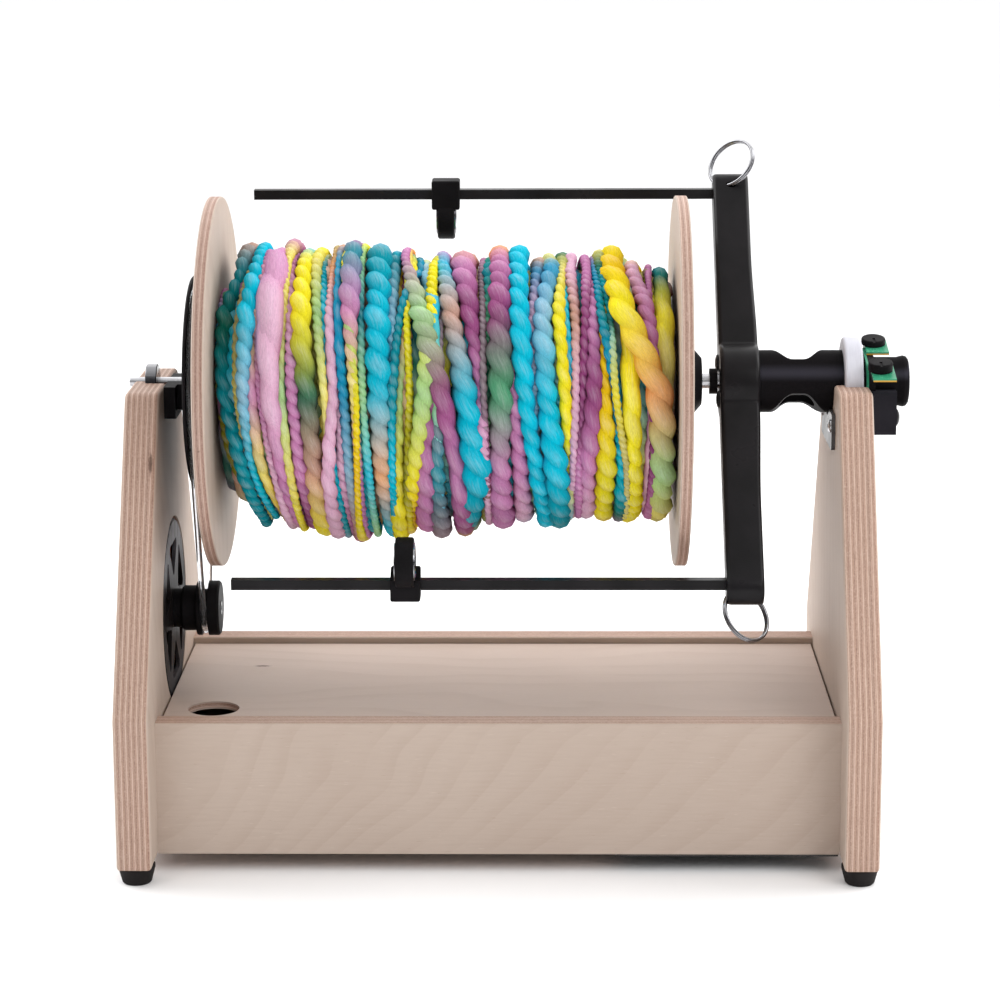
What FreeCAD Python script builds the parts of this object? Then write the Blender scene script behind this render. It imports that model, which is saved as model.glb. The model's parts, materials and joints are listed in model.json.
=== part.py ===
"""Electric spinning wheel: a plywood stand, a motor-driven bobbin of yarn and a flyer.

Millimetres. X runs along the shaft (the orifice is at +X), Y away from the spinner, Z up.
The origin is on the floor, midway between the uprights and under the shaft.
"""
import FreeCAD
import Part
import math
import os
from FreeCAD import Vector

# Stand
STAND_LENGTH = 388.0
PLY = 18.0
UPRIGHT_DEPTH = 242.0
UPRIGHT_HEIGHT = 232.2
KNEE_HEIGHT = 78.5
UPRIGHT_TOP_DEPTH = 82.0
TOP_CORNER_RADIUS = 6.0
EDGE_ROUND = 2.0
PANEL_PLY = 15.0
PANEL_HEIGHT = 70.0
BOX_DEPTH = 188.0
BOTTOM_PLY = 6.0
BOTTOM_RAISE = 4.0
COVER_LENGTH = 115.0
COVER_THICKNESS = 1.2
CLEAT = 10.0
PANEL_EDGE_ROUND = 1.2
PANEL_SCREW = 2.0
PANEL_SCREW_HEAD = 4.0
PANEL_SCREW_LENGTH = 40.0
PANEL_SCREW_SINK = 0.4
PANEL_SCREW_ROWS = (16.4, 49.8)

# Lid
LID_PLY = 4.0
LID_SINK = 3.5
LID_GAP_ENDS = 1.0
LID_GAP_SIDES = 0.6
FINGER_HOLE_RADIUS = 13.5
FINGER_HOLE_FROM_END = 25.0
FINGER_HOLE_FROM_FRONT = 24.4

# Feet
FOOT_HEIGHT = 9.5
FOOT_TOP_RADIUS = 9.5
FOOT_BOTTOM_RADIUS = 7.6
FOOT_INSET = 11.0
FOOT_SCREW_RADIUS = 1.9
FOOT_SCREW_HEAD_RADIUS = 3.8
FOOT_SCREW_HEAD = 2.4
FOOT_SCREW_LENGTH = 16.0
FOOT_RECESS = 3.6

# Shaft and its left bearing
SHAFT_DROP = 0.8
SHAFT_RADIUS = 4.0
JOURNAL_RADIUS = 2.5
JOURNAL_OVERHANG = 2.7
JOURNAL_SHOULDER = 12.6
BEARING_RADIUS = 9.5
BEARING_WIDTH = 6.0
BEARING_SETBACK = 5.4
INNER_RACE_RADIUS = 4.2
OUTER_RACE_INNER_RADIUS = 7.7
BALL_RADIUS = 1.5
BALL_COUNT = 7
BALL_CIRCLE = 6.05
SHIELD = 0.6
SLOT_CLEARANCE = 0.8

# Left bearing block
BLOCK_HALF_DEPTH = 22.0
BLOCK_HEIGHT = 17.2
BLOCK_THICKNESS = 6.0
BLOCK_STEP_THICKNESS = 4.6
BLOCK_STEP_HALF_DEPTH = 13.0
BLOCK_STEP_HEIGHT = 14.0
BLOCK_SCREW_OUT = 17.0
BLOCK_SCREW_DROP = 9.0
BLOCK_SCREW_HEAD = 3.2
BLOCK_SCREW_RADIUS = 1.6
BLOCK_SCREW_LENGTH = 15.0
BLOCK_CORNER = 2.5

# Motor
MOTOR_DROP = 124.0
ROTOR_RADIUS = 48.5
ROTOR_FACE = 2.0
ROTOR_WALL = 2.4
ROTOR_SPOKES = 6
ROTOR_WINDOW_INNER = 17.0
ROTOR_WINDOW_OUTER = 42.0
ROTOR_SPOKE_WIDTH = 7.0
POCKET_CLEARANCE = 1.5
POCKET_DEPTH = 14.0
MOTOR_SHAFT_RADIUS = 3.0
MOUNT_FLANGE = 2.5
MOUNT_RADIUS = 22.0
MOUNT_BOSS_RADIUS = 9.0
MOTOR_BEARING_RADIUS = 6.5
MOTOR_BEARING_WIDTH = 3.5
MOUNT_SCREW_CIRCLE = 15.0
MOUNT_SCREW_RADIUS = 1.5
MOUNT_SCREW_HEAD_RADIUS = 3.0
MOUNT_SCREW_HEAD = 1.6
MOUNT_SCREW_COUNT = 4
STATOR_TEETH = 12
STATOR_WIDTH = 5.0
STATOR_HUB_RADIUS = 26.0
STATOR_RADIUS = 43.0
TOOTH_WIDTH = 4.0
TOOTH_TIP_WIDTH = 17.0
TOOTH_TIP = 2.2
COIL_WALL = 2.0
COIL_OVERHANG = 1.2
MAGNET_COUNT = 14
AIR_GAP = 0.6

# Belt drive
BELT_RADIUS = 1.6
BELT_CLEARANCE = 0.3
BELT_FROM_FACE = 17.0
WHORL_RADIUS = 56.6
WHORL_THICKNESS = 6.6
WHORL_BELT_RADIUS = 53.0
WHORL_BOSS_RADIUS = 22.0
WHORL_RECESS_RADIUS = 48.0
WHORL_RECESS = 1.6
PULLEY_BELT_RADIUS = 12.2
PULLEY_HUB_RADIUS = 12.2
PULLEY_FLANGE_RADIUS = 14.8
PULLEY_INNER_FLANGE = 2.6
PULLEY_OUTER_FLANGE = 6.2
PULLEY_HUB_LENGTH = 8.0
PULLEY_NECK_RADIUS = 10.4
PULLEY_SCREW_RADIUS = 3.6
PULLEY_SCREW_HEAD = 1.8

# Bobbin
FLANGE_RADIUS = 98.0
FLANGE_PLY = 6.4
FLANGE_LEFT = -152.7
FLANGE_RIGHT = 98.9
CORE_RADIUS = 25.0
CORE_WALL = 3.0
BUSH_LENGTH = 18.0
RUNNING_CLEARANCE = 0.06
HUB_BASE_RADIUS = 18.5
HUB_TIP_RADIUS = 12.5
HUB_BASE_RIM = 3.0
HUB_LENGTH = 8.2

# Yarn
STRAND_RADIUS = 5.2
YARN_TURNS = 20
YARN_MEAN_RADIUS = 65.4
YARN_GAP = 0.6
YARN_END_GAP = 2.0

# Flyer
FLYER_TURN = 42.0
ARM_LEFT = 116.5
ARM_WIDTH = 19.3
ARM_THICKNESS = 18.0
ARM_PAST_ROD = 11.0
ARM_CORNER = 2.5
ARM_HUB_RADIUS = 21.0
ARM_HUB_RAISE = 1.5
ARM_HUB_SLOPE = 0.8
ARM_HUB_CHAMFER = 1.0
ROD_SIDE = 5.3
ROD_REACH = 122.0
ROD_LEFT = -136.2
ROD_SOCKET = 7.0
COLLAR_RADIUS = 6.8
COLLAR_WIDTH = 4.1
COLLAR_GAP = 1.0
ARM_SCREW_OFFSET = 11.4
ARM_SCREW_RADIUS = 2.4
ARM_SCREW_HEAD_RADIUS = 4.6
ARM_SCREW_HEAD = 1.9
ARM_SCREW_BITE = 5.0

# Orifice tube
TUBE_RADIUS = 16.5
TUBE_BASE = 6.5
SHOULDER_IN_UPRIGHT = 5.2
TUBE_OVERHANG = 22.3
TUBE_BORE_STEP = 4.0
TUBE_BORE = 13.2
NECK_RADIUS = 12.8
NECK_BORE = 10.4
LIP_RADIUS = 13.6
LIP_LENGTH = 6.2
LIP_CROWN = 2.8
LIP_FACE_RADIUS = 11.2
WINDOW_FROM_SHOULDER = 8.2
WINDOW_LENGTH = 31.0
WINDOW_CHORD = 9.2
WINDOW_TURN = -20.5
WINDOW_FLAT = 5.0

# Sliding hooks and guide rings
HOOK_WIDTH = 15.4
HOOK_HEIGHT = 16.0
HOOK_DEPTH = 13.0
HOOK_SLIDE_CLEARANCE = 0.1
HOOK_LOOP_RADIUS = 13.0
HOOK_LOOP_BORE = 9.6
HOOK_LOOP_WIDTH = 9.4
HOOK_LOOP_TANGENT = 12.6
HOOK_LOOP_INWARD = 5.5
UPPER_HOOK_X = -30.4
LOWER_HOOK_X = -47.0
EYELET_WALL = 0.8
EYELET_RIM = 0.6
EYELET_RIM_WIDTH = 0.6
RING_RADIUS = 13.9
RING_WIRE_RADIUS = 0.85
RING_WIRE_STEP = 0.6
RING_HOLE_CLEARANCE = 0.45
RING_FRONT_FROM_LEFT = 10.2
RING_FRONT_BELOW_ROD = 0.5
RING_SIDE_FORWARD = 1.5
RING_SIDE_PAST_ROD = 8.0

# Right bearing
NYLON_RADIUS = 23.4
NYLON_GAP = 0.3
NYLON_WIDTH = 9.5
NYLON_ROUND = 1.5
PLATE_HALF_DEPTH = 28.0
PLATE_THICKNESS = 2.0
PLATE_TOP_DROP = 14.0
PLATE_HEIGHT = 19.0
PLATE_SLOT_CLEARANCE = 1.2
PLATE_SCREW_OUT = 24.0
PLATE_SCREW_DROP = 20.5
PLATE_SCREW_HEAD_RADIUS = 3.4
PLATE_SCREW_HEAD = 1.8
PLATE_SCREW_RADIUS = 1.6
CRADLE_HALF_DEPTH = 21.0
CRADLE_WIDTH = 14.6
CRADLE_TOP_DROP = 2.2
CRADLE_HEIGHT = 23.2
CRADLE_CLEARANCE = 1.2
CRADLE_SCREW_OUT = 11.5
CRADLE_SCREW_DROP = 17.4
SCREW_HEAD_RADIUS = 4.5
SCREW_HEAD = 2.8
SCREW_SHANK_RADIUS = 2.0
SCREW_BITE = 8.0
FIT = 0.05

# Controls
ARCH_PLATE = 1.2
ARCH_RADIUS = 18.5
ARCH_INNER = 14.2
BRACKET_GAP = 0.1
BRACKET_WIDTH = 3.6
BRACKET_SHELF = 2.4
SHELF_SHORT_FRONT = 8.0
SHELF_SHORT_BACK = 1.0
BOARD_RISE = 14.7
BOARD_TILT = 12.2
BOARD_THICKNESS = 1.6
BOARD_WIDTH = 12.0
FRONT_BOARD_NEAR = 40.0
FRONT_BOARD_FAR = 17.0
BACK_BOARD_NEAR = -2.2
BACK_BOARD_FAR = 15.6
DIAL_RADIUS = 6.4
FRONT_DIAL_HEIGHT = 4.6
BACK_DIAL_HEIGHT = 3.2
DIAL_GAP = 0.3
DIAL_FROM_BOARD_END = 4.7
FRONT_DIAL_OUT = 27.7
BACK_DIAL_OUT = 10.0
DIAL_POST_RADIUS = 3.0
DIAL_SOCKET = 2.0
DIAL_POINTER_WIDTH = 1.4
DIAL_POINTER_DEPTH = 0.5

# Electronics in the box
CONTROLLER_LENGTH = 70.0
CONTROLLER_DEPTH = 46.0
CONTROLLER_X = 90.0
CONTROLLER_Y = 20.0
STANDOFF_HEIGHT = 6.0
STANDOFF_RADIUS = 3.0
CHIP_HEIGHT = 3.0
CHIP_SIDE = 14.0
PLUG_LENGTH = 8.0
PLUG_DEPTH = 10.0
BOARD_MARGIN = 4.0
SINK_HEIGHT = 9.0
SINK_SIDE = 22.0
SINK_PLATE = 2.0
SINK_FIN = 1.2
SINK_FINS = 6
INLET_X = 120.0
INLET_HEIGHT = 36.0
INLET_BODY_RADIUS = 5.6
INLET_FLANGE_RADIUS = 7.5
INLET_FLANGE = 1.8
INLET_BORE = 3.2
INLET_PIN = 1.0
INLET_LENGTH = 28.0
INLET_NUT_RADIUS = 8.0
INLET_NUT = 3.0

# Places that follow from the sizes above
OUTER = STAND_LENGTH / 2
INNER = OUTER - PLY
STAND_TOP = FOOT_HEIGHT + UPRIGHT_HEIGHT
SHAFT_Z = STAND_TOP - SHAFT_DROP
PANEL_TOP = FOOT_HEIGHT + PANEL_HEIGHT
BOX_INNER = BOX_DEPTH / 2 - PANEL_PLY
LID_TOP = PANEL_TOP - LID_SINK
FLOOR_TOP = FOOT_HEIGHT + BOTTOM_RAISE + BOTTOM_PLY
MOTOR_Z = SHAFT_Z - MOTOR_DROP
BELT_X = -INNER + BELT_FROM_FACE
JOURNAL_END = -OUTER - JOURNAL_OVERHANG
BEARING_X = -INNER - BEARING_SETBACK - BEARING_WIDTH
FLANGE_INNER_LEFT = FLANGE_LEFT + FLANGE_PLY
FLANGE_INNER_RIGHT = FLANGE_RIGHT - FLANGE_PLY
ARM_RIGHT = ARM_LEFT + ARM_WIDTH
ARM_REACH = ROD_REACH + ARM_PAST_ROD
HUB_FACE = ARM_RIGHT + ARM_HUB_RAISE
TUBE_SHOULDER = INNER + SHOULDER_IN_UPRIGHT
TUBE_END = OUTER + TUBE_OVERHANG
WINDOW_END = TUBE_SHOULDER - WINDOW_FROM_SHOULDER
WINDOW_START = WINDOW_END - WINDOW_LENGTH
NYLON_X = TUBE_SHOULDER + NYLON_GAP
CRADLE_TOP = SHAFT_Z - CRADLE_TOP_DROP


def box(x0, x1, y0, y1, z0, z1):
    return Part.makeBox(x1 - x0, y1 - y0, z1 - z0, Vector(x0, y0, z0))


def rod_x(x0, x1, radius, y=0.0, z=0.0):
    """A round bar along X."""
    return Part.makeCylinder(radius, x1 - x0, Vector(x0, y, z), Vector(1, 0, 0))


def ring_x(x0, x1, outer, inner):
    return rod_x(x0, x1, outer).cut(rod_x(x0, x1, inner))


def turned(profile):
    """A solid of revolution about X from points (x, radius)."""
    points = [Vector(x, 0, r) for x, r in profile]
    face = Part.Face(Part.makePolygon(points + points[:1]))
    return face.revolve(Vector(0, 0, 0), Vector(1, 0, 0), 360)


def prism_x(outline, x0, x1):
    """A prism along X from an outline of points (y, z)."""
    points = [Vector(x0, y, z) for y, z in outline]
    face = Part.Face(Part.makePolygon(points + points[:1]))
    return face.extrude(Vector(x1 - x0, 0, 0))


def fused(shapes):
    first = shapes[0]
    return first.fuse(shapes[1:]).removeSplitter() if len(shapes) > 1 else first


def group(shapes):
    """Separate solids that share a node."""
    return Part.makeCompound(shapes)


def at(shape, x=0.0, y=0.0, z=0.0):
    moved = shape.copy()
    moved.translate(Vector(x, y, z))
    return moved


def about_x(shape, degrees, y=0.0, z=0.0):
    moved = shape.copy()
    moved.rotate(Vector(0, y, z), Vector(1, 0, 0), degrees)
    return moved


def on_shaft(shape):
    return at(shape, z=SHAFT_Z)


def on_motor(shape):
    return at(shape, z=MOTOR_Z)


def on_flyer(shape):
    """From the flyer's own frame, arm along Z, to its resting turn on the shaft."""
    return on_shaft(about_x(shape, -FLYER_TURN))


def u_cutter(x0, x1, radius):
    """A round-bottomed notch about the shaft that is open upwards."""
    notch = rod_x(x0, x1, radius, 0, SHAFT_Z)
    return notch.fuse(box(x0, x1, -radius, radius, SHAFT_Z, STAND_TOP + radius))


def edges_at_x(shape, x, tolerance=0.01):
    """The edges that lie wholly in the plane at this x."""
    return [e for e in shape.Edges
            if abs(e.BoundBox.XMin - x) < tolerance and abs(e.BoundBox.XMax - x) < tolerance]


def countersunk_screw(head_radius, head, radius, length):
    """Along +X with the flat head's outer face at x = 0."""
    return turned([(0, 0), (0, head_radius), (head, radius), (length - radius, radius), (length, 0)])


def domed_screw(head_radius, head, radius, length):
    """Along +X: the domed head stands out to -X from the seat at x = 0."""
    rise = 0.55 * head
    dome = (head_radius ** 2 + rise ** 2) / (2 * rise)
    halfway = -head + dome - math.sqrt(dome ** 2 - head_radius ** 2 / 4)
    arc = Part.Arc(Vector(-head, 0, 0), Vector(halfway, 0, head_radius / 2), Vector(-head + rise, 0, head_radius))
    lines = [Vector(-head + rise, 0, head_radius), Vector(0, 0, head_radius), Vector(0, 0, radius),
             Vector(length, 0, radius), Vector(length, 0, 0), Vector(-head, 0, 0)]
    wire = Part.Wire([arc.toShape()] + Part.makePolygon(lines).Edges)
    body = Part.Face(wire).revolve(Vector(0, 0, 0), Vector(1, 0, 0), 360)
    socket = prism_x(hexagon(0.45 * head_radius), -head - 1, -0.35 * head)
    return body.cut(socket)


def hexagon(radius):
    return [(radius * math.cos(math.radians(60 * i)), radius * math.sin(math.radians(60 * i)))
            for i in range(6)]


# The stand

def upright_blank(x0):
    half = UPRIGHT_DEPTH / 2
    top = UPRIGHT_TOP_DEPTH / 2
    knee = FOOT_HEIGHT + KNEE_HEIGHT
    outline = [(-half, FOOT_HEIGHT), (half, FOOT_HEIGHT), (half, knee), (top, STAND_TOP),
               (-top, STAND_TOP), (-half, knee)]
    blank = prism_x(outline, x0, x0 + PLY)
    corners = [e for e in blank.Edges
               if e.BoundBox.XLength > PLY / 2 and abs(e.BoundBox.ZMin - STAND_TOP) < 0.1]
    blank = blank.makeFillet(TOP_CORNER_RADIUS, corners)
    rims = edges_at_x(blank, x0) + edges_at_x(blank, x0 + PLY)
    return blank.makeFillet(EDGE_ROUND, rims)


def foot_places():
    x = OUTER - PLY / 2
    y = UPRIGHT_DEPTH / 2 - FOOT_INSET
    return [(sx * x, sy * y) for sx in (-1, 1) for sy in (-1, 1)]


def foot_pilot(x, y):
    return Part.makeCylinder(FOOT_SCREW_RADIUS + FIT, FOOT_SCREW_LENGTH + 1, Vector(x, y, FOOT_HEIGHT - 1))


def panel_screw_places():
    y = BOX_INNER + PANEL_PLY / 2
    return [(sy * y, FOOT_HEIGHT + row) for sy in (-1, 1) for row in PANEL_SCREW_ROWS]


def panel_screw(y, z, side):
    """A countersunk screw from the upright's outer face into a panel's end."""
    screw = countersunk_screw(PANEL_SCREW_HEAD, PANEL_SCREW_HEAD - PANEL_SCREW, PANEL_SCREW, PANEL_SCREW_LENGTH)
    if side > 0:
        screw.rotate(Vector(0, 0, 0), Vector(0, 0, 1), 180)
    return at(screw, side * (OUTER - PANEL_SCREW_SINK), y, z)


def panel_screw_hole(y, z, side):
    reach = OUTER - PANEL_SCREW_SINK - PANEL_SCREW_LENGTH
    hole = rod_x(min(side * reach, side * OUTER), max(side * reach, side * OUTER), PANEL_SCREW + FIT, y, z)
    mouth = turned([(0, 0), (0, PANEL_SCREW_HEAD + FIT),
                    (PANEL_SCREW_HEAD - PANEL_SCREW, PANEL_SCREW + FIT), (PANEL_SCREW_HEAD, 0)])
    lead = rod_x(-1, 0, PANEL_SCREW_HEAD + FIT)
    mouth = mouth.fuse(lead)
    if side > 0:
        mouth.rotate(Vector(0, 0, 0), Vector(0, 0, 1), 180)
    return hole.fuse(at(mouth, side * (OUTER - PANEL_SCREW_SINK), y, z))


def left_upright():
    body = upright_blank(-OUTER)
    cuts = [u_cutter(BEARING_X - 0.1, -INNER + 1, BEARING_RADIUS + FIT)]
    cuts.append(u_cutter(-OUTER - 1, BEARING_X, JOURNAL_RADIUS + SLOT_CLEARANCE))
    pocket = rod_x(-INNER - POCKET_DEPTH, -INNER + 1, ROTOR_RADIUS + POCKET_CLEARANCE, 0, MOTOR_Z)
    cuts.append(pocket)
    cuts += [at(hole, z=MOTOR_Z) for hole in motor_screws_raw(FIT)]
    cuts += [foot_pilot(x, y) for x, y in foot_places() if x < 0]
    cuts += [panel_screw_hole(y, z, -1) for y, z in panel_screw_places()]
    cuts += [block_screw(side, FIT) for side in (-1, 1)]
    return body.cut(cuts)


def right_upright():
    body = upright_blank(INNER)
    cuts = [u_cutter(NYLON_X - 0.2, OUTER + 1, NYLON_RADIUS + FIT)]
    cuts.append(u_cutter(INNER - 1, NYLON_X, TUBE_RADIUS + PLATE_SLOT_CLEARANCE))
    cuts += [foot_pilot(x, y) for x, y in foot_places() if x > 0]
    cuts += [panel_screw_hole(y, z, 1) for y, z in panel_screw_places()]
    cuts += [plate_screw(side, FIT) for side in (-1, 1)]
    return body.cut(cuts)


def panel(side):
    near = side * BOX_INNER
    far = side * BOX_DEPTH / 2
    body = box(-INNER, INNER, min(near, far), max(near, far), FOOT_HEIGHT, PANEL_TOP)
    long_edges = [e for e in body.Edges
                  if e.BoundBox.XLength > INNER and abs(e.BoundBox.ZMin - PANEL_TOP) < 0.1]
    body = body.makeFillet(PANEL_EDGE_ROUND, long_edges)
    cuts = [panel_screw_hole(y, z, sx) for y, z in panel_screw_places() for sx in (-1, 1)
            if y * side > 0]
    if side > 0:
        cuts.append(inlet_hole())
    return body.cut(cuts)


def bottom_panel():
    low = FOOT_HEIGHT + BOTTOM_RAISE
    return box(-INNER, INNER, -BOX_INNER, BOX_INNER, low, FLOOR_TOP)


def base_cover():
    """The thin dark sheet under the right part of the box."""
    y = BOX_DEPTH / 2 - 0.5
    return box(INNER - COVER_LENGTH, INNER - 0.5, -y, y, FOOT_HEIGHT - COVER_THICKNESS, FOOT_HEIGHT)


def lid_cleats():
    top = LID_TOP - LID_PLY
    cleats = []
    for side in (-1, 1):
        wall = side * BOX_INNER
        edge = wall - side * CLEAT
        cleats.append(box(-INNER, INNER, min(wall, edge), max(wall, edge), top - CLEAT, top))
    return group(cleats)


def lid():
    x = INNER - LID_GAP_ENDS
    y = BOX_INNER - LID_GAP_SIDES
    sheet = box(-x, x, -y, y, LID_TOP - LID_PLY, LID_TOP)
    upper = [e for e in sheet.Edges if abs(e.BoundBox.ZMin - LID_TOP) < 0.01]
    sheet = sheet.makeFillet(0.5, upper)
    hole = Part.makeCylinder(FINGER_HOLE_RADIUS, LID_PLY * 3,
                             Vector(-x + FINGER_HOLE_FROM_END, -y + FINGER_HOLE_FROM_FRONT,
                                    LID_TOP - 2 * LID_PLY))
    return sheet.cut(hole)


def foot(x, y):
    profile = [(0, 0), (0, FOOT_BOTTOM_RADIUS - 0.8), (0.8, FOOT_BOTTOM_RADIUS),
               (FOOT_HEIGHT - 1.5, FOOT_TOP_RADIUS), (FOOT_HEIGHT, FOOT_TOP_RADIUS), (FOOT_HEIGHT, 0)]
    body = turned(profile)
    recess = rod_x(-1, FOOT_RECESS, FOOT_SCREW_HEAD_RADIUS + 0.3)
    bore = rod_x(0, FOOT_HEIGHT, FOOT_SCREW_RADIUS + FIT)
    body = body.cut([recess, bore])
    body.rotate(Vector(0, 0, 0), Vector(0, 1, 0), -90)
    return at(body, x, y, 0)


def foot_screw(x, y):
    head = Part.makeCylinder(FOOT_SCREW_HEAD_RADIUS, FOOT_SCREW_HEAD, Vector(x, y, FOOT_RECESS - FOOT_SCREW_HEAD))
    shank = Part.makeCylinder(FOOT_SCREW_RADIUS, FOOT_SCREW_LENGTH, Vector(x, y, FOOT_RECESS))
    return head.fuse(shank)


# The left bearing

def outer_race():
    half = BEARING_WIDTH / 2
    profile = [(-half, BEARING_RADIUS - 0.4), (-half + 0.4, BEARING_RADIUS), (half - 0.4, BEARING_RADIUS),
               (half, BEARING_RADIUS - 0.4), (half, INNER_RACE_RADIUS + 0.4),
               (half - SHIELD, INNER_RACE_RADIUS + 0.4), (half - SHIELD, OUTER_RACE_INNER_RADIUS),
               (-half + SHIELD, OUTER_RACE_INNER_RADIUS), (-half + SHIELD, INNER_RACE_RADIUS + 0.4),
               (-half, INNER_RACE_RADIUS + 0.4)]
    return on_shaft(at(turned(profile), x=BEARING_X + BEARING_WIDTH / 2))


def inner_race():
    return on_shaft(ring_x(BEARING_X, BEARING_X + BEARING_WIDTH, INNER_RACE_RADIUS, JOURNAL_RADIUS))


def bearing_balls():
    balls = []
    for i in range(BALL_COUNT):
        turn = math.radians(360.0 * i / BALL_COUNT)
        centre = Vector(BEARING_X + BEARING_WIDTH / 2, BALL_CIRCLE * math.sin(turn),
                        SHAFT_Z + BALL_CIRCLE * math.cos(turn))
        balls.append(Part.makeSphere(BALL_RADIUS, centre))
    return group(balls)


def bearing_block():
    x0 = -INNER
    body = box(x0, x0 + BLOCK_THICKNESS, -BLOCK_HALF_DEPTH, BLOCK_HALF_DEPTH, STAND_TOP - BLOCK_HEIGHT, STAND_TOP)
    step = box(x0 + BLOCK_THICKNESS, x0 + BLOCK_THICKNESS + BLOCK_STEP_THICKNESS, -BLOCK_STEP_HALF_DEPTH,
               BLOCK_STEP_HALF_DEPTH, STAND_TOP - BLOCK_STEP_HEIGHT, STAND_TOP)
    body = body.fuse(step).removeSplitter()
    lower = [e for e in body.Edges
             if e.BoundBox.XLength > 1 and e.BoundBox.ZMax < STAND_TOP - BLOCK_STEP_HEIGHT + 0.1]
    body = body.makeFillet(BLOCK_CORNER, lower)
    notch = u_cutter(x0 - 1, x0 + BLOCK_THICKNESS + BLOCK_STEP_THICKNESS + 1, JOURNAL_RADIUS + SLOT_CLEARANCE)
    return body.cut([notch] + [block_screw(side, FIT) for side in (-1, 1)])


def block_screw(side, extra):
    """Countersunk from the block's face into the upright."""
    screw = countersunk_screw(BLOCK_SCREW_HEAD + extra, BLOCK_SCREW_HEAD - BLOCK_SCREW_RADIUS,
                              BLOCK_SCREW_RADIUS + extra, BLOCK_SCREW_LENGTH + extra)
    screw.rotate(Vector(0, 0, 0), Vector(0, 0, 1), 180)
    return at(screw, -INNER + BLOCK_THICKNESS, side * BLOCK_SCREW_OUT, STAND_TOP - BLOCK_SCREW_DROP)


# The motor, about its own axis

def motor_screws_raw(extra=0.0):
    screws = []
    for i in range(MOUNT_SCREW_COUNT):
        turn = 45 + 360.0 / MOUNT_SCREW_COUNT * i
        length = PLY - POCKET_DEPTH + MOUNT_FLANGE
        screw = countersunk_screw(MOUNT_SCREW_HEAD_RADIUS + extra, MOUNT_SCREW_HEAD,
                                  MOUNT_SCREW_RADIUS + extra, length)
        if extra:
            screw = screw.fuse(rod_x(-1, 0, MOUNT_SCREW_HEAD_RADIUS + extra))
        screws.append(about_x(at(screw, x=-OUTER, z=MOUNT_SCREW_CIRCLE), turn))
    return screws


def motor_mount():
    base = -INNER - POCKET_DEPTH
    boss_end = -INNER - ROTOR_FACE - 1.0
    body = turned([(base, MOTOR_SHAFT_RADIUS + 0.5), (base, MOUNT_RADIUS), (base + MOUNT_FLANGE, MOUNT_RADIUS),
                   (base + MOUNT_FLANGE, MOUNT_BOSS_RADIUS), (boss_end, MOUNT_BOSS_RADIUS),
                   (boss_end, MOTOR_BEARING_RADIUS), (boss_end - MOTOR_BEARING_WIDTH, MOTOR_BEARING_RADIUS),
                   (boss_end - MOTOR_BEARING_WIDTH, MOTOR_SHAFT_RADIUS + 0.5)])
    return on_motor(body.cut(motor_screws_raw(FIT)))


def motor_bearing():
    end = -INNER - ROTOR_FACE - 1.0
    return on_motor(ring_x(end - MOTOR_BEARING_WIDTH, end, MOTOR_BEARING_RADIUS, MOTOR_SHAFT_RADIUS + RUNNING_CLEARANCE))


def stator_x():
    return -INNER - POCKET_DEPTH + MOUNT_FLANGE + COIL_OVERHANG + 1.6


def motor_stator():
    x0 = stator_x()
    x1 = x0 + STATOR_WIDTH
    parts = [ring_x(x0, x1, STATOR_HUB_RADIUS, MOUNT_BOSS_RADIUS)]
    rim = ring_x(x0, x1, STATOR_RADIUS, STATOR_RADIUS - TOOTH_TIP)
    for i in range(STATOR_TEETH):
        turn = 360.0 / STATOR_TEETH * i
        tooth = box(x0, x1, -TOOTH_WIDTH / 2, TOOTH_WIDTH / 2, STATOR_HUB_RADIUS - 1, STATOR_RADIUS - TOOTH_TIP / 2)
        tip = rim.common(box(x0, x1, -TOOTH_TIP_WIDTH / 2, TOOTH_TIP_WIDTH / 2, 0, STATOR_RADIUS))
        parts.append(about_x(tooth.fuse(tip), turn))
    return on_motor(fused(parts))


def motor_coils():
    x0 = stator_x() - COIL_OVERHANG
    x1 = stator_x() + STATOR_WIDTH + COIL_OVERHANG
    half = TOOTH_WIDTH / 2 + COIL_WALL
    coil = box(x0, x1, -half, half, STATOR_HUB_RADIUS + 0.6, STATOR_RADIUS - TOOTH_TIP - 0.6)
    coil = coil.makeFillet(1.0, [e for e in coil.Edges if e.BoundBox.ZLength > 5])
    gap = FIT
    coil = coil.cut(box(x0 + COIL_OVERHANG - gap, x1 - COIL_OVERHANG + gap, -TOOTH_WIDTH / 2 - gap,
                        TOOTH_WIDTH / 2 + gap, 0, STATOR_RADIUS))
    return on_motor(group([about_x(coil, 360.0 / STATOR_TEETH * i) for i in range(STATOR_TEETH)]))


def motor_bell():
    """A flat spoked face with the rim that carries the magnets."""
    face_x = -INNER - ROTOR_FACE
    back = stator_x()
    profile = [(face_x + ROTOR_FACE, MOTOR_SHAFT_RADIUS), (face_x + ROTOR_FACE, ROTOR_RADIUS - 1.0),
               (face_x + ROTOR_FACE - 1.0, ROTOR_RADIUS), (back, ROTOR_RADIUS), (back, ROTOR_RADIUS - ROTOR_WALL),
               (face_x, ROTOR_RADIUS - ROTOR_WALL), (face_x, MOTOR_SHAFT_RADIUS)]
    bell = turned(profile)
    window = rotor_window(face_x - 1, face_x + ROTOR_FACE + 1)
    windows = [about_x(window, 360.0 / ROTOR_SPOKES * i) for i in range(ROTOR_SPOKES)]
    return on_motor(bell.cut(windows))


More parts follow.
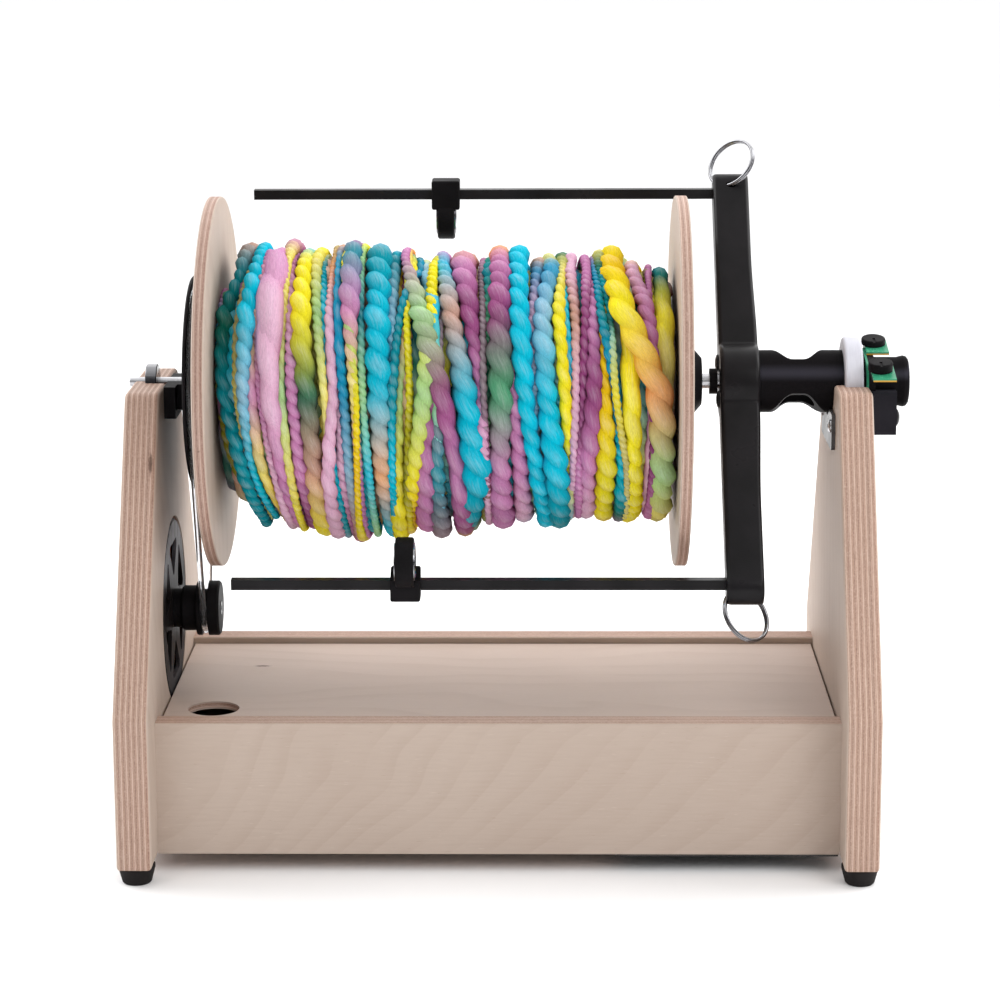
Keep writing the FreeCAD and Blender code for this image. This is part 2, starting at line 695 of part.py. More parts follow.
def rotor_window(x0, x1):
    """A rounded triangle between two spokes."""
    spread = math.radians(180.0 / ROTOR_SPOKES)
    half_outer = ROTOR_WINDOW_OUTER * math.sin(spread) - ROTOR_SPOKE_WIDTH / 2
    outer_z = ROTOR_WINDOW_OUTER * math.cos(spread)
    blank = prism_x([(0, ROTOR_WINDOW_INNER), (half_outer, outer_z), (-half_outer, outer_z)], x0, x1)
    return blank.makeFillet(2.5, [e for e in blank.Edges if e.BoundBox.XLength > 1])


def motor_magnets():
    outer = ROTOR_RADIUS - ROTOR_WALL
    inner = STATOR_RADIUS + AIR_GAP
    x0 = stator_x()
    ring = ring_x(x0, x0 + STATOR_WIDTH, outer, inner)
    step = 360.0 / MAGNET_COUNT
    wedge = math.radians(0.45 * step)
    reach = 2 * outer
    cutter = prism_x([(0, 0), (reach * math.sin(wedge), reach * math.cos(wedge)),
                      (-reach * math.sin(wedge), reach * math.cos(wedge))], x0 - 1, x0 + STATOR_WIDTH + 1)
    magnet = ring.common(cutter)
    return on_motor(group([about_x(magnet, step * i) for i in range(MAGNET_COUNT)]))


def pulley_end():
    return BELT_X + BELT_RADIUS + BELT_CLEARANCE + PULLEY_OUTER_FLANGE


def motor_shaft():
    return on_motor(rod_x(-INNER - POCKET_DEPTH + 0.5, pulley_end() - PULLEY_SCREW_HEAD, MOTOR_SHAFT_RADIUS))


def belt_groove(radius):
    """A round groove that holds the belt with a running clearance."""
    groove = BELT_RADIUS + BELT_CLEARANCE
    torus = Part.makeTorus(radius, groove, Vector(BELT_X, 0, 0), Vector(1, 0, 0))
    mouth = ring_x(BELT_X - groove, BELT_X + groove, radius + 3 * groove, radius)
    return torus.fuse(mouth)


def motor_pulley():
    groove = BELT_RADIUS + BELT_CLEARANCE
    left = BELT_X - groove - PULLEY_INNER_FLANGE
    hub = left - PULLEY_HUB_LENGTH
    end = pulley_end()
    profile = [(-INNER, MOTOR_SHAFT_RADIUS), (-INNER, PULLEY_NECK_RADIUS), (hub, PULLEY_NECK_RADIUS),
               (hub, PULLEY_HUB_RADIUS - 1), (hub + 1, PULLEY_HUB_RADIUS), (left, PULLEY_HUB_RADIUS),
               (left, PULLEY_FLANGE_RADIUS - 0.6), (left + 0.6, PULLEY_FLANGE_RADIUS),
               (end - 1, PULLEY_FLANGE_RADIUS), (end, PULLEY_FLANGE_RADIUS - 1), (end, MOTOR_SHAFT_RADIUS)]
    body = turned(profile).cut(belt_groove(PULLEY_BELT_RADIUS))
    seat = rod_x(end - PULLEY_SCREW_HEAD, end + 1, PULLEY_SCREW_RADIUS + 0.3)
    return on_motor(body.cut(seat))


def pulley_screw():
    end = pulley_end()
    head = rod_x(end - PULLEY_SCREW_HEAD, end + 0.3, PULLEY_SCREW_RADIUS)
    head = head.cut(prism_x(hexagon(0.55 * PULLEY_SCREW_RADIUS), end - 1.2, end + 1))
    return on_motor(head)


def drive_belt():
    """A round belt: two arcs about the whorl and the pulley and their common tangents."""
    big = WHORL_BELT_RADIUS
    small = PULLEY_BELT_RADIUS
    lean = math.asin((big - small) / MOTOR_DROP)
    side = Vector(0, math.cos(lean), -math.sin(lean))
    top = Vector(BELT_X, 0, SHAFT_Z)
    low = Vector(BELT_X, 0, MOTOR_Z)

    def mirrored(v):
        return Vector(v.x, -v.y, v.z)

    upper = top + side * big
    lower = low + side * small
    arc_top = Part.Arc(upper, top + Vector(0, 0, big), mirrored(upper)).toShape()
    arc_low = Part.Arc(mirrored(lower), low - Vector(0, 0, small), lower).toShape()
    runs = [Part.makeLine(mirrored(upper), mirrored(lower)), Part.makeLine(lower, upper)]
    path = Part.Wire([arc_top, runs[0], arc_low, runs[1]])
    start = Part.Wire(Part.makeCircle(BELT_RADIUS, upper, Vector(0, side.z, -side.y)))
    return path.makePipeShell([start], True, False)


# The bobbin

def whorl():
    groove = BELT_RADIUS + BELT_CLEARANCE
    x0 = BELT_X - WHORL_THICKNESS / 2
    x1 = BELT_X + WHORL_THICKNESS / 2
    bore = SHAFT_RADIUS + 1.0
    profile = [(x0, bore), (x0, HUB_BASE_RADIUS), (x0 + WHORL_RECESS, HUB_BASE_RADIUS + 2),
               (x0 + WHORL_RECESS, WHORL_RECESS_RADIUS - 1), (x0, WHORL_RECESS_RADIUS + 1),
               (x0, WHORL_RADIUS - 0.8), (x0 + 0.8, WHORL_RADIUS), (x1 - 0.8, WHORL_RADIUS),
               (x1, WHORL_RADIUS - 0.8), (x1, WHORL_BOSS_RADIUS), (FLANGE_LEFT, WHORL_BOSS_RADIUS),
               (FLANGE_LEFT, bore)]
    body = turned(profile)
    wide = groove * 0.86
    throat = ring_x(BELT_X - wide, BELT_X + wide, WHORL_RADIUS + 1, WHORL_BELT_RADIUS)
    torus = Part.makeTorus(WHORL_BELT_RADIUS, groove, Vector(BELT_X, 0, 0), Vector(1, 0, 0))
    return on_shaft(body.cut([torus, throat]))


def flange(x0):
    body = ring_x(x0, x0 + FLANGE_PLY, FLANGE_RADIUS, CORE_RADIUS - CORE_WALL)
    rims = [e for e in body.Edges if abs(e.BoundBox.ZLength - 2 * FLANGE_RADIUS) < 0.1 and e.BoundBox.XLength < 0.1]
    return on_shaft(body.makeFillet(0.8, rims))


def bobbin_core():
    return on_shaft(ring_x(FLANGE_INNER_LEFT, FLANGE_INNER_RIGHT, CORE_RADIUS, CORE_RADIUS - CORE_WALL))


def bobbin_bush(x0, x1):
    return on_shaft(ring_x(x0, x1, CORE_RADIUS - CORE_WALL, SHAFT_RADIUS + RUNNING_CLEARANCE))


def bobbin_bushes():
    """One bush in each flange, a part of it reaching into the core tube."""
    return group([bobbin_bush(FLANGE_LEFT, FLANGE_LEFT + BUSH_LENGTH),
                  bobbin_bush(FLANGE_RIGHT - BUSH_LENGTH, FLANGE_RIGHT)])


def bobbin_hub():
    x0 = FLANGE_RIGHT
    profile = [(x0, SHAFT_RADIUS + 0.4), (x0, HUB_BASE_RADIUS), (x0 + HUB_BASE_RIM, HUB_BASE_RADIUS),
               (x0 + HUB_LENGTH, HUB_TIP_RADIUS), (x0 + HUB_LENGTH, SHAFT_RADIUS + 0.4)]
    return on_shaft(turned(profile))


def yarn_span():
    return (FLANGE_INNER_LEFT + YARN_END_GAP + STRAND_RADIUS,
            FLANGE_INNER_RIGHT - YARN_END_GAP - STRAND_RADIUS)


def yarn_core():
    """The wound yarn under the outer layer, with its rounded shoulders."""
    radius = YARN_MEAN_RADIUS - STRAND_RADIUS - YARN_GAP
    x0 = FLANGE_INNER_LEFT + 0.3
    x1 = FLANGE_INNER_RIGHT - 0.3
    soft = 5.0
    profile = [(x0, CORE_RADIUS + 0.3), (x0, radius - soft), (x0 + soft, radius), (x1 - soft, radius),
               (x1, radius - soft), (x1, CORE_RADIUS + 0.3)]
    return on_shaft(turned(profile))


def helix_point(turn):
    x0, x1 = yarn_span()
    angle = 2 * math.pi * turn
    return Vector(x0 + (x1 - x0) * turn / YARN_TURNS, YARN_MEAN_RADIUS * math.sin(angle),
                  YARN_MEAN_RADIUS * math.cos(angle))


def helix_direction(turn):
    x0, x1 = yarn_span()
    angle = 2 * math.pi * turn
    rise = (x1 - x0) / YARN_TURNS / (2 * math.pi)
    direction = Vector(rise, YARN_MEAN_RADIUS * math.cos(angle), -YARN_MEAN_RADIUS * math.sin(angle))
    return direction.normalize()


def biarc(p0, t0, p1, t1):
    """Two tangent arcs from p0 along t0 to p1 along t1."""
    v = p1 - p0
    t = t0 + t1
    a = 2 * (1 - t0.dot(t1))
    b = 2 * v.dot(t)
    c = -v.dot(v)
    d = (-b + math.sqrt(b * b - 4 * a * c)) / (2 * a)
    joint = (p0 + t0 * d + p1 - t1 * d) * 0.5
    return [arc_from(p0, t0, joint), arc_from(p1, t1 * -1, joint, True)]


def arc_from(start, direction, end, backwards=False):
    """The arc that leaves start along direction and reaches end."""
    chord = end - start
    half = chord.Length / 2
    unit = chord * (1 / chord.Length)
    cosine = max(-1.0, min(1.0, unit.dot(direction)))
    turn = math.acos(cosine)
    aside = (direction - unit * cosine)
    aside.normalize()
    middle = start + chord * 0.5 + aside * (half * math.tan(turn / 2))
    if backwards:
        return Part.Arc(end, middle, start).toShape()
    return Part.Arc(start, middle, end).toShape()


def yarn_winding():
    """The outer layer of turns: one unbroken strand round the inner yarn."""
    step = 0.5
    count = int(round(YARN_TURNS / step))
    edges = []
    for i in range(count):
        edges += biarc(helix_point(i * step), helix_direction(i * step),
                       helix_point((i + 1) * step), helix_direction((i + 1) * step))
    straight = 2 * STRAND_RADIUS
    first = helix_point(0) - helix_direction(0) * straight
    last = helix_point(YARN_TURNS) + helix_direction(YARN_TURNS) * straight
    edges.insert(0, Part.makeLine(first, helix_point(0)))
    edges.append(Part.makeLine(helix_point(YARN_TURNS), last))
    start = Part.Wire(Part.makeCircle(STRAND_RADIUS, first, helix_direction(0)))
    return on_shaft(Part.Wire(edges).makePipeShell([start], True, False))


def print_least_gap():
    """The strand's least gap to itself, between points of turns that lie side by side."""
    steps = 48
    points = [helix_point(i / steps) for i in range(YARN_TURNS * steps + 1)]
    least = min((points[i] - points[i + steps]).Length for i in range(len(points) - steps))
    print("yarn: least gap between turns %.2f mm" % (least - 2 * STRAND_RADIUS))


# The flyer, in its own frame: the arm along Z, the spinner's side at -Y

def flyer_shaft():
    shoulder = -INNER + JOURNAL_SHOULDER
    end = HUB_FACE + TUBE_BASE - 1.5
    body = turned([(JOURNAL_END, 0), (JOURNAL_END, JOURNAL_RADIUS - 0.4), (JOURNAL_END + 0.4, JOURNAL_RADIUS),
                   (shoulder, JOURNAL_RADIUS), (shoulder, SHAFT_RADIUS - 0.4), (shoulder + 0.4, SHAFT_RADIUS),
                   (end, SHAFT_RADIUS), (end, 0)])
    return on_flyer(body)


def shaft_collar():
    x1 = ARM_LEFT - COLLAR_GAP
    body = ring_x(x1 - COLLAR_WIDTH, x1, COLLAR_RADIUS, SHAFT_RADIUS)
    return on_flyer(body)


def arm_blank():
    """A bar with round ends, softened along its long edges, and a low round hub face."""
    half = ARM_THICKNESS / 2
    reach = ARM_REACH - half
    bar = box(ARM_LEFT, ARM_RIGHT, -half, half, -reach, reach)
    ends = [rod_x(ARM_LEFT, ARM_RIGHT, half, 0, s * reach) for s in (-1, 1)]
    bar = fused([bar] + ends)
    bar = bar.makeFillet(ARM_CORNER, edges_at_x(bar, ARM_LEFT) + edges_at_x(bar, ARM_RIGHT))
    low = ARM_LEFT + ARM_CORNER
    hub = turned([(low, 0), (low, ARM_HUB_RADIUS - ARM_HUB_SLOPE), (low + ARM_HUB_SLOPE, ARM_HUB_RADIUS),
                  (HUB_FACE - ARM_HUB_CHAMFER, ARM_HUB_RADIUS), (HUB_FACE, ARM_HUB_RADIUS - ARM_HUB_CHAMFER),
                  (HUB_FACE, 0)])
    return fused([bar, hub])


def flyer_arm():
    body = arm_blank()
    cuts = [rod_x(ARM_LEFT - 1, HUB_FACE + 1, SHAFT_RADIUS)]
    for side in (-1, 1):
        cuts.append(rod_bar(side, ARM_LEFT - 1, ARM_LEFT + ROD_SOCKET))
        cuts.append(arm_screw(side, FIT))
    torus = Part.makeTorus(RING_RADIUS, RING_WIRE_RADIUS + RING_WIRE_STEP + RING_HOLE_CLEARANCE)
    cuts += [placed_ring(torus, half_turn) for half_turn in (False, True)]
    return on_flyer(body.cut(cuts))


def rod_bar(side, x0, x1):
    half = ROD_SIDE / 2
    bar = about_x(box(x0, x1, -half, half, -half, half), 45)
    return at(bar, z=side * ROD_REACH)


def flyer_rod(side):
    return on_flyer(rod_bar(side, ROD_LEFT, ARM_LEFT + ROD_SOCKET))


def arm_screw(side, extra=0.0):
    length = ARM_WIDTH + ARM_HUB_RAISE + ARM_SCREW_BITE
    screw = domed_screw(ARM_SCREW_HEAD_RADIUS, ARM_SCREW_HEAD, ARM_SCREW_RADIUS + extra, length + extra)
    return at(screw, ARM_LEFT, 0, side * ARM_SCREW_OFFSET)


def orifice_tube():
    """A turned tube with a blind base, a neck with a lip, and two opposite windows."""
    base = HUB_FACE + TUBE_BASE
    profile = [(HUB_FACE, 0), (HUB_FACE, TUBE_RADIUS), (TUBE_SHOULDER, TUBE_RADIUS), (TUBE_SHOULDER, NECK_RADIUS),
               (TUBE_END - LIP_LENGTH, NECK_RADIUS), (TUBE_END - LIP_CROWN, LIP_RADIUS),
               (TUBE_END - 1.2, LIP_RADIUS - 0.4),
               (TUBE_END - 0.2, LIP_FACE_RADIUS + 0.8), (TUBE_END, LIP_FACE_RADIUS),
               (TUBE_END - 0.6, NECK_BORE + 0.2), (TUBE_END - 2.0, NECK_BORE),
               (TUBE_SHOULDER, NECK_BORE), (TUBE_SHOULDER - TUBE_BORE_STEP, TUBE_BORE), (base + 2, TUBE_BORE), (base, 0)]
    body = turned(profile)
    cuts = [tube_window(), about_x(tube_window(), 180), rod_x(HUB_FACE - 1, HUB_FACE + TUBE_BASE - 1.5, SHAFT_RADIUS)]
    cuts += [arm_screw(side, FIT) for side in (-1, 1)]
    return on_flyer(body.cut(cuts))


def tube_window():
    """The cutter of one window: a waist with flowing shoulders."""
    middle = (WINDOW_START + WINDOW_END) / 2
    clear = TUBE_RADIUS + 2
    high = TUBE_RADIUS
    ends = [Vector(WINDOW_START, 0, high), Vector(middle - WINDOW_FLAT / 2, 0, WINDOW_CHORD),
            Vector(middle + WINDOW_FLAT / 2, 0, WINDOW_CHORD), Vector(WINDOW_END, 0, high)]
    left = Part.BezierCurve()
    reach = 0.42 * (ends[1].x - ends[0].x)
    left.setPoles([ends[0], ends[0] + Vector(reach, 0, 0), ends[1] - Vector(reach, 0, 0), ends[1]])
    right = Part.BezierCurve()
    right.setPoles([ends[2], ends[2] + Vector(reach, 0, 0), ends[3] - Vector(reach, 0, 0), ends[3]])
    top = [ends[3], Vector(WINDOW_END, 0, clear), Vector(WINDOW_START, 0, clear), ends[0]]
    wire = Part.Wire([left.toShape(), Part.makeLine(ends[1], ends[2]), right.toShape()]
                     + Part.makePolygon(top).Edges)
    cutter = Part.Face(wire).extrude(Vector(0, 2 * clear, 0))
    cutter.translate(Vector(0, -clear, 0))
    return about_x(cutter, WINDOW_TURN + FLYER_TURN)


def hook(side, x):
    """A block on the rod with a loop beside it, in the flyer's frame."""
    half = HOOK_WIDTH / 2
    block = box(x - half, x + half, -HOOK_DEPTH / 2, HOOK_DEPTH / 2, -HOOK_HEIGHT / 2, HOOK_HEIGHT / 2)
    block = block.makeFillet(1.2, block.Edges)
    block = at(about_x(block, 45), z=ROD_REACH)
    loop = at(loop_body(x), y=HOOK_LOOP_TANGENT, z=ROD_REACH - HOOK_LOOP_INWARD)
    bore = at(rod_x(x - half - 1, x + half + 1, HOOK_LOOP_BORE), y=HOOK_LOOP_TANGENT, z=ROD_REACH - HOOK_LOOP_INWARD)
    slot_half = ROD_SIDE / 2 + HOOK_SLIDE_CLEARANCE
    slot = box(x - half - 1, x + half + 1, -slot_half, slot_half, -slot_half, slot_half)
    slot = at(about_x(slot, 45), z=ROD_REACH)
    body = fused([block, loop]).cut([bore, slot])
    return on_flyer(about_x(body, 0 if side > 0 else 180))


def loop_body(x):
    half = HOOK_LOOP_WIDTH / 2
    soft = 0.8
    return turned([(x - half, HOOK_LOOP_BORE), (x - half, HOOK_LOOP_RADIUS - soft), (x - half + soft, HOOK_LOOP_RADIUS),
                   (x + half - soft, HOOK_LOOP_RADIUS), (x + half, HOOK_LOOP_RADIUS - soft), (x + half, HOOK_LOOP_BORE)])


def eyelet(side, x):
    """A polished liner with a rolled rim at each mouth of the loop."""
    half = HOOK_LOOP_WIDTH / 2
    inner = HOOK_LOOP_BORE - EYELET_WALL
    rim = HOOK_LOOP_BORE + EYELET_RIM
    out = half + EYELET_RIM_WIDTH
    body = turned([(x - out, inner + 0.4), (x - out, rim - 0.2), (x - half, rim), (x - half, HOOK_LOOP_BORE),
                   (x + half, HOOK_LOOP_BORE), (x + half, rim), (x + out, rim - 0.2), (x + out, inner + 0.4),
                   (x + out - 0.4, inner), (x - out + 0.4, inner)])
    body = at(body, y=HOOK_LOOP_TANGENT, z=ROD_REACH - HOOK_LOOP_INWARD)
    half_block = HOOK_WIDTH / 2
    corner = about_x(box(x - half_block - 1, x + half_block + 1, -HOOK_DEPTH / 2 - 0.1, HOOK_DEPTH / 2 + 0.1,
                         -HOOK_HEIGHT / 2 - 0.1, HOOK_HEIGHT / 2 + 0.1), 45)
    bore = at(rod_x(x - half_block - 1, x + half_block + 1, HOOK_LOOP_BORE), y=HOOK_LOOP_TANGENT,
              z=ROD_REACH - HOOK_LOOP_INWARD)
    body = body.cut(at(corner, z=ROD_REACH).cut(bore))
    return on_flyer(about_x(body, 0 if side > 0 else 180))


def ring_frame():
    """Centre and normal of the upper guide ring, from the two mouths of its hole."""
    front = Vector(ARM_LEFT + RING_FRONT_FROM_LEFT, -ARM_THICKNESS / 2, ROD_REACH - RING_FRONT_BELOW_ROD)
    side = Vector(ARM_LEFT, -RING_SIDE_FORWARD, ROD_REACH + RING_SIDE_PAST_ROD)
    chord = side - front
    along = chord * (1 / chord.Length)
    outward = Vector(0, 0, 1) - along * along.z
    outward.normalize()
    sink = math.sqrt(RING_RADIUS ** 2 - (chord.Length / 2) ** 2)
    return (front + side) * 0.5 + outward * sink, along.cross(outward)


def placed_ring(shape, half_turn):
    """A shape about Z, set on a guide ring's centre and normal."""
    centre, normal = ring_frame()
    body = shape.copy()
    body.Placement = FreeCAD.Placement(centre, FreeCAD.Rotation(Vector(0, 0, 1), normal))
    return about_x(body, 180) if half_turn else body


def guide_ring(half_turn):
    """A split ring: two turns of wire side by side."""
    coils = [at(Part.makeTorus(RING_RADIUS, RING_WIRE_RADIUS), z=s * RING_WIRE_STEP) for s in (-1, 1)]
    return on_flyer(placed_ring(fused(coils), half_turn))


# The right bearing

def nylon_ring():
    """The plain bearing ring of the tube's neck; the cradle's screws hold it."""
    x0 = NYLON_X
    x1 = x0 + NYLON_WIDTH
    soft = NYLON_ROUND
    bore = NECK_RADIUS + RUNNING_CLEARANCE
    outer = NYLON_RADIUS
    corners = [Vector(x0, 0, bore), Vector(x0, 0, outer - soft), Vector(x0 + soft, 0, outer),
               Vector(x1 - soft, 0, outer), Vector(x1, 0, outer - soft), Vector(x1, 0, bore)]
    mid = soft * (1 - math.cos(math.radians(45)))
    arcs = [Part.Arc(corners[1], Vector(x0 + mid, 0, outer - mid), corners[2]).toShape(),
            Part.Arc(corners[3], Vector(x1 - mid, 0, outer - mid), corners[4]).toShape()]
    lines = [Part.makeLine(corners[i], corners[(i + 1) % 6]) for i in (0, 2, 4, 5)]
    wire = Part.Wire(Part.__sortEdges__(arcs + lines))
    body = on_shaft(Part.Face(wire).revolve(Vector(0, 0, 0), Vector(1, 0, 0), 360))
    return body.cut([cradle_screw(side, FIT) for side in (-1, 1)])


def retainer_plate():
    x0 = INNER - PLATE_THICKNESS
    top = STAND_TOP - PLATE_TOP_DROP
    body = box(x0, INNER, -PLATE_HALF_DEPTH, PLATE_HALF_DEPTH, top - PLATE_HEIGHT, top)
    corners = [e for e in body.Edges if e.BoundBox.XLength > 1]
    body = body.makeFillet(2.0, corners)
    notch = u_cutter(x0 - 1, INNER + 1, TUBE_RADIUS + PLATE_SLOT_CLEARANCE)
    return body.cut([notch] + [plate_screw(side, FIT) for side in (-1, 1)])


def plate_screw(side, extra=0.0):
    screw = domed_screw(PLATE_SCREW_HEAD_RADIUS, PLATE_SCREW_HEAD, PLATE_SCREW_RADIUS + extra, SCREW_BITE + extra)
    return at(screw, INNER - PLATE_THICKNESS, side * PLATE_SCREW_OUT, STAND_TOP - PLATE_SCREW_DROP)


def cradle():
    """The outer U block under the tube's neck."""
    x1 = OUTER + CRADLE_WIDTH
    body = box(OUTER, x1, -CRADLE_HALF_DEPTH, CRADLE_HALF_DEPTH, CRADLE_TOP - CRADLE_HEIGHT, CRADLE_TOP)
    body = body.makeFillet(1.5, [e for e in body.Edges if e.BoundBox.XLength > 1])
    notch = rod_x(OUTER - 1, x1 + 1, NECK_RADIUS + CRADLE_CLEARANCE, 0, SHAFT_Z)
    return body.cut([notch] + [cradle_screw(side, FIT) for side in (-1, 1)])


def cradle_screw(side, extra=0.0):
    length = CRADLE_WIDTH + SCREW_BITE
    screw = domed_screw(SCREW_HEAD_RADIUS, SCREW_HEAD, SCREW_SHANK_RADIUS + extra, length + extra)
    screw.rotate(Vector(0, 0, 0), Vector(0, 0, 1), 180)
    return at(screw, OUTER + CRADLE_WIDTH, side * CRADLE_SCREW_OUT, SHAFT_Z - CRADLE_SCREW_DROP)


# The controls

def half_arch(x0, x1, outer):
    ring = ring_x(x0, x1, outer, ARCH_INNER)
    return on_shaft(ring.common(box(x0, x1, -outer, outer, -CRADLE_TOP_DROP, outer)))


def arch_board():
    x1 = bracket_x()
    x0 = x1 - ARCH_PLATE
    return half_arch(x0, x1, ARCH_RADIUS).cut(above_boards(x0 - 1, x1 + 1))


def boards_plane(shape):
    """From a level frame over the shaft to the plane that the dial boards lie in."""
    tilted = shape.copy()
    tilted.rotate(Vector(0, 0, 0), Vector(1, 0, 0), BOARD_TILT)
    return at(tilted, z=SHAFT_Z + BOARD_RISE)


def above_boards(x0, x1):
    return boards_plane(box(x0, x1, -FRONT_BOARD_NEAR, FRONT_BOARD_NEAR, 0, ARCH_RADIUS))


def bracket_x():
    return OUTER + BRACKET_GAP


def control_bracket():
    """An arch over the tube's neck whose flat shelf carries both dial boards."""
    x0 = bracket_x()
    x1 = x0 + BRACKET_WIDTH
    arch = half_arch(x0, x1, ARCH_RADIUS)
    shelf = boards_plane(box(x0, x1, -FRONT_BOARD_NEAR + SHELF_SHORT_FRONT, BACK_BOARD_FAR - SHELF_SHORT_BACK, -BRACKET_SHELF, 0))
    body = fused([arch, shelf]).cut(above_boards(x0 - 1, x1 + 1))
    return body.cut(rod_x(x0 - 1, x1 + 1, ARCH_INNER, 0, SHAFT_Z))


def dial_board(y0, y1, dial_y):
    x0 = bracket_x()
    board = box(x0, x0 + BOARD_WIDTH, y0, y1, 0, BOARD_THICKNESS)
    post_x = x0 + DIAL_FROM_BOARD_END
    post = Part.makeCylinder(DIAL_POST_RADIUS, DIAL_SOCKET - 0.5, Vector(post_x, dial_y, BOARD_THICKNESS))
    return boards_plane(board.fuse(post))


def dial(dial_y, height):
    """A round knob with a socket for its post and a pointer notch in its top."""
    x = bracket_x() + DIAL_FROM_BOARD_END
    low = BOARD_THICKNESS + DIAL_GAP
    body = Part.makeCylinder(DIAL_RADIUS, height, Vector(x, dial_y, low))
    body = body.makeFillet(0.9, [e for e in body.Edges if abs(e.BoundBox.ZMin - low - height) < 0.01])
    socket = Part.makeCylinder(DIAL_POST_RADIUS + DIAL_GAP, DIAL_SOCKET, Vector(x, dial_y, low - 0.01))
    half = DIAL_POINTER_WIDTH / 2
    pointer = box(x - half, x + half, dial_y - DIAL_RADIUS, dial_y - 0.5, low + height - DIAL_POINTER_DEPTH,
                  low + height + 1)
    return boards_plane(body.cut([socket, pointer]))


# Electronics in the box

def controller_places():
    x = CONTROLLER_LENGTH / 2 - BOARD_MARGIN
    y = CONTROLLER_DEPTH / 2 - BOARD_MARGIN
    return [(CONTROLLER_X + sx * x, CONTROLLER_Y + sy * y) for sx in (-1, 1) for sy in (-1, 1)]


def controller_board():
    z = FLOOR_TOP + STANDOFF_HEIGHT
    x0 = CONTROLLER_X - CONTROLLER_LENGTH / 2
    y0 = CONTROLLER_Y - CONTROLLER_DEPTH / 2
    board = box(x0, x0 + CONTROLLER_LENGTH, y0, y0 + CONTROLLER_DEPTH, z, z + BOARD_THICKNESS)
    top = z + BOARD_THICKNESS
    chip_x = x0 + 3 * BOARD_MARGIN
    chip_y = y0 + 4 * BOARD_MARGIN
    chip = box(chip_x, chip_x + CHIP_SIDE, chip_y, chip_y + CHIP_SIDE, top, top + CHIP_HEIGHT)
    plug_x = x0 + BOARD_MARGIN
    plug_y = y0 + CONTROLLER_DEPTH - BOARD_MARGIN / 2
    plug = box(plug_x, plug_x + PLUG_LENGTH, plug_y - PLUG_DEPTH, plug_y, top, top + 2 * CHIP_HEIGHT)
    return fused([board, chip, plug])


def controller_sink():
    """A finned heat sink on the motor driver."""
    base = FLOOR_TOP + STANDOFF_HEIGHT + BOARD_THICKNESS
    x0 = CONTROLLER_X + BOARD_MARGIN
    y0 = CONTROLLER_Y - SINK_SIDE / 2
    plate = box(x0, x0 + SINK_SIDE, y0, y0 + SINK_SIDE, base, base + SINK_PLATE)
    pitch = SINK_SIDE / SINK_FINS
    low = base + SINK_PLATE / 2
    fins = [box(x0, x0 + SINK_SIDE, y0 + pitch * i, y0 + pitch * i + SINK_FIN, low, base + SINK_HEIGHT)
            for i in range(SINK_FINS)]
    return fused([plate] + fins)


def standoffs():
    return group([Part.makeCylinder(STANDOFF_RADIUS, STANDOFF_HEIGHT, Vector(x, y, FLOOR_TOP))
                  for x, y in controller_places()])


def inlet_frame(shape):
    """From an axis along X, mouth at 0 and body towards +X, to the back panel."""
    body = shape.copy()
    body.rotate(Vector(0, 0, 0), Vector(0, 0, 1), -90)
    return at(body, INLET_X, BOX_DEPTH / 2, INLET_HEIGHT)


def inlet_hole():
    return inlet_frame(rod_x(-1, PANEL_PLY + 1, INLET_BODY_RADIUS + FIT))


def dc_inlet():
    """A round low-voltage socket with its contact pin."""
    depth = 10.0
    profile = [(-INLET_FLANGE, INLET_BORE), (-INLET_FLANGE, INLET_FLANGE_RADIUS), (0, INLET_FLANGE_RADIUS),
               (0, INLET_BODY_RADIUS), (INLET_LENGTH, INLET_BODY_RADIUS), (INLET_LENGTH, 0), (0.5, 0),
               (0.5, INLET_PIN), (depth, INLET_PIN), (depth, INLET_BORE)]
    return inlet_frame(turned(profile))


def inlet_nut():
    nut = prism_x(hexagon(INLET_NUT_RADIUS), PANEL_PLY, PANEL_PLY + INLET_NUT)
    return inlet_frame(nut.cut(rod_x(PANEL_PLY - 1, PANEL_PLY + INLET_NUT + 1, INLET_BODY_RADIUS + FIT)))


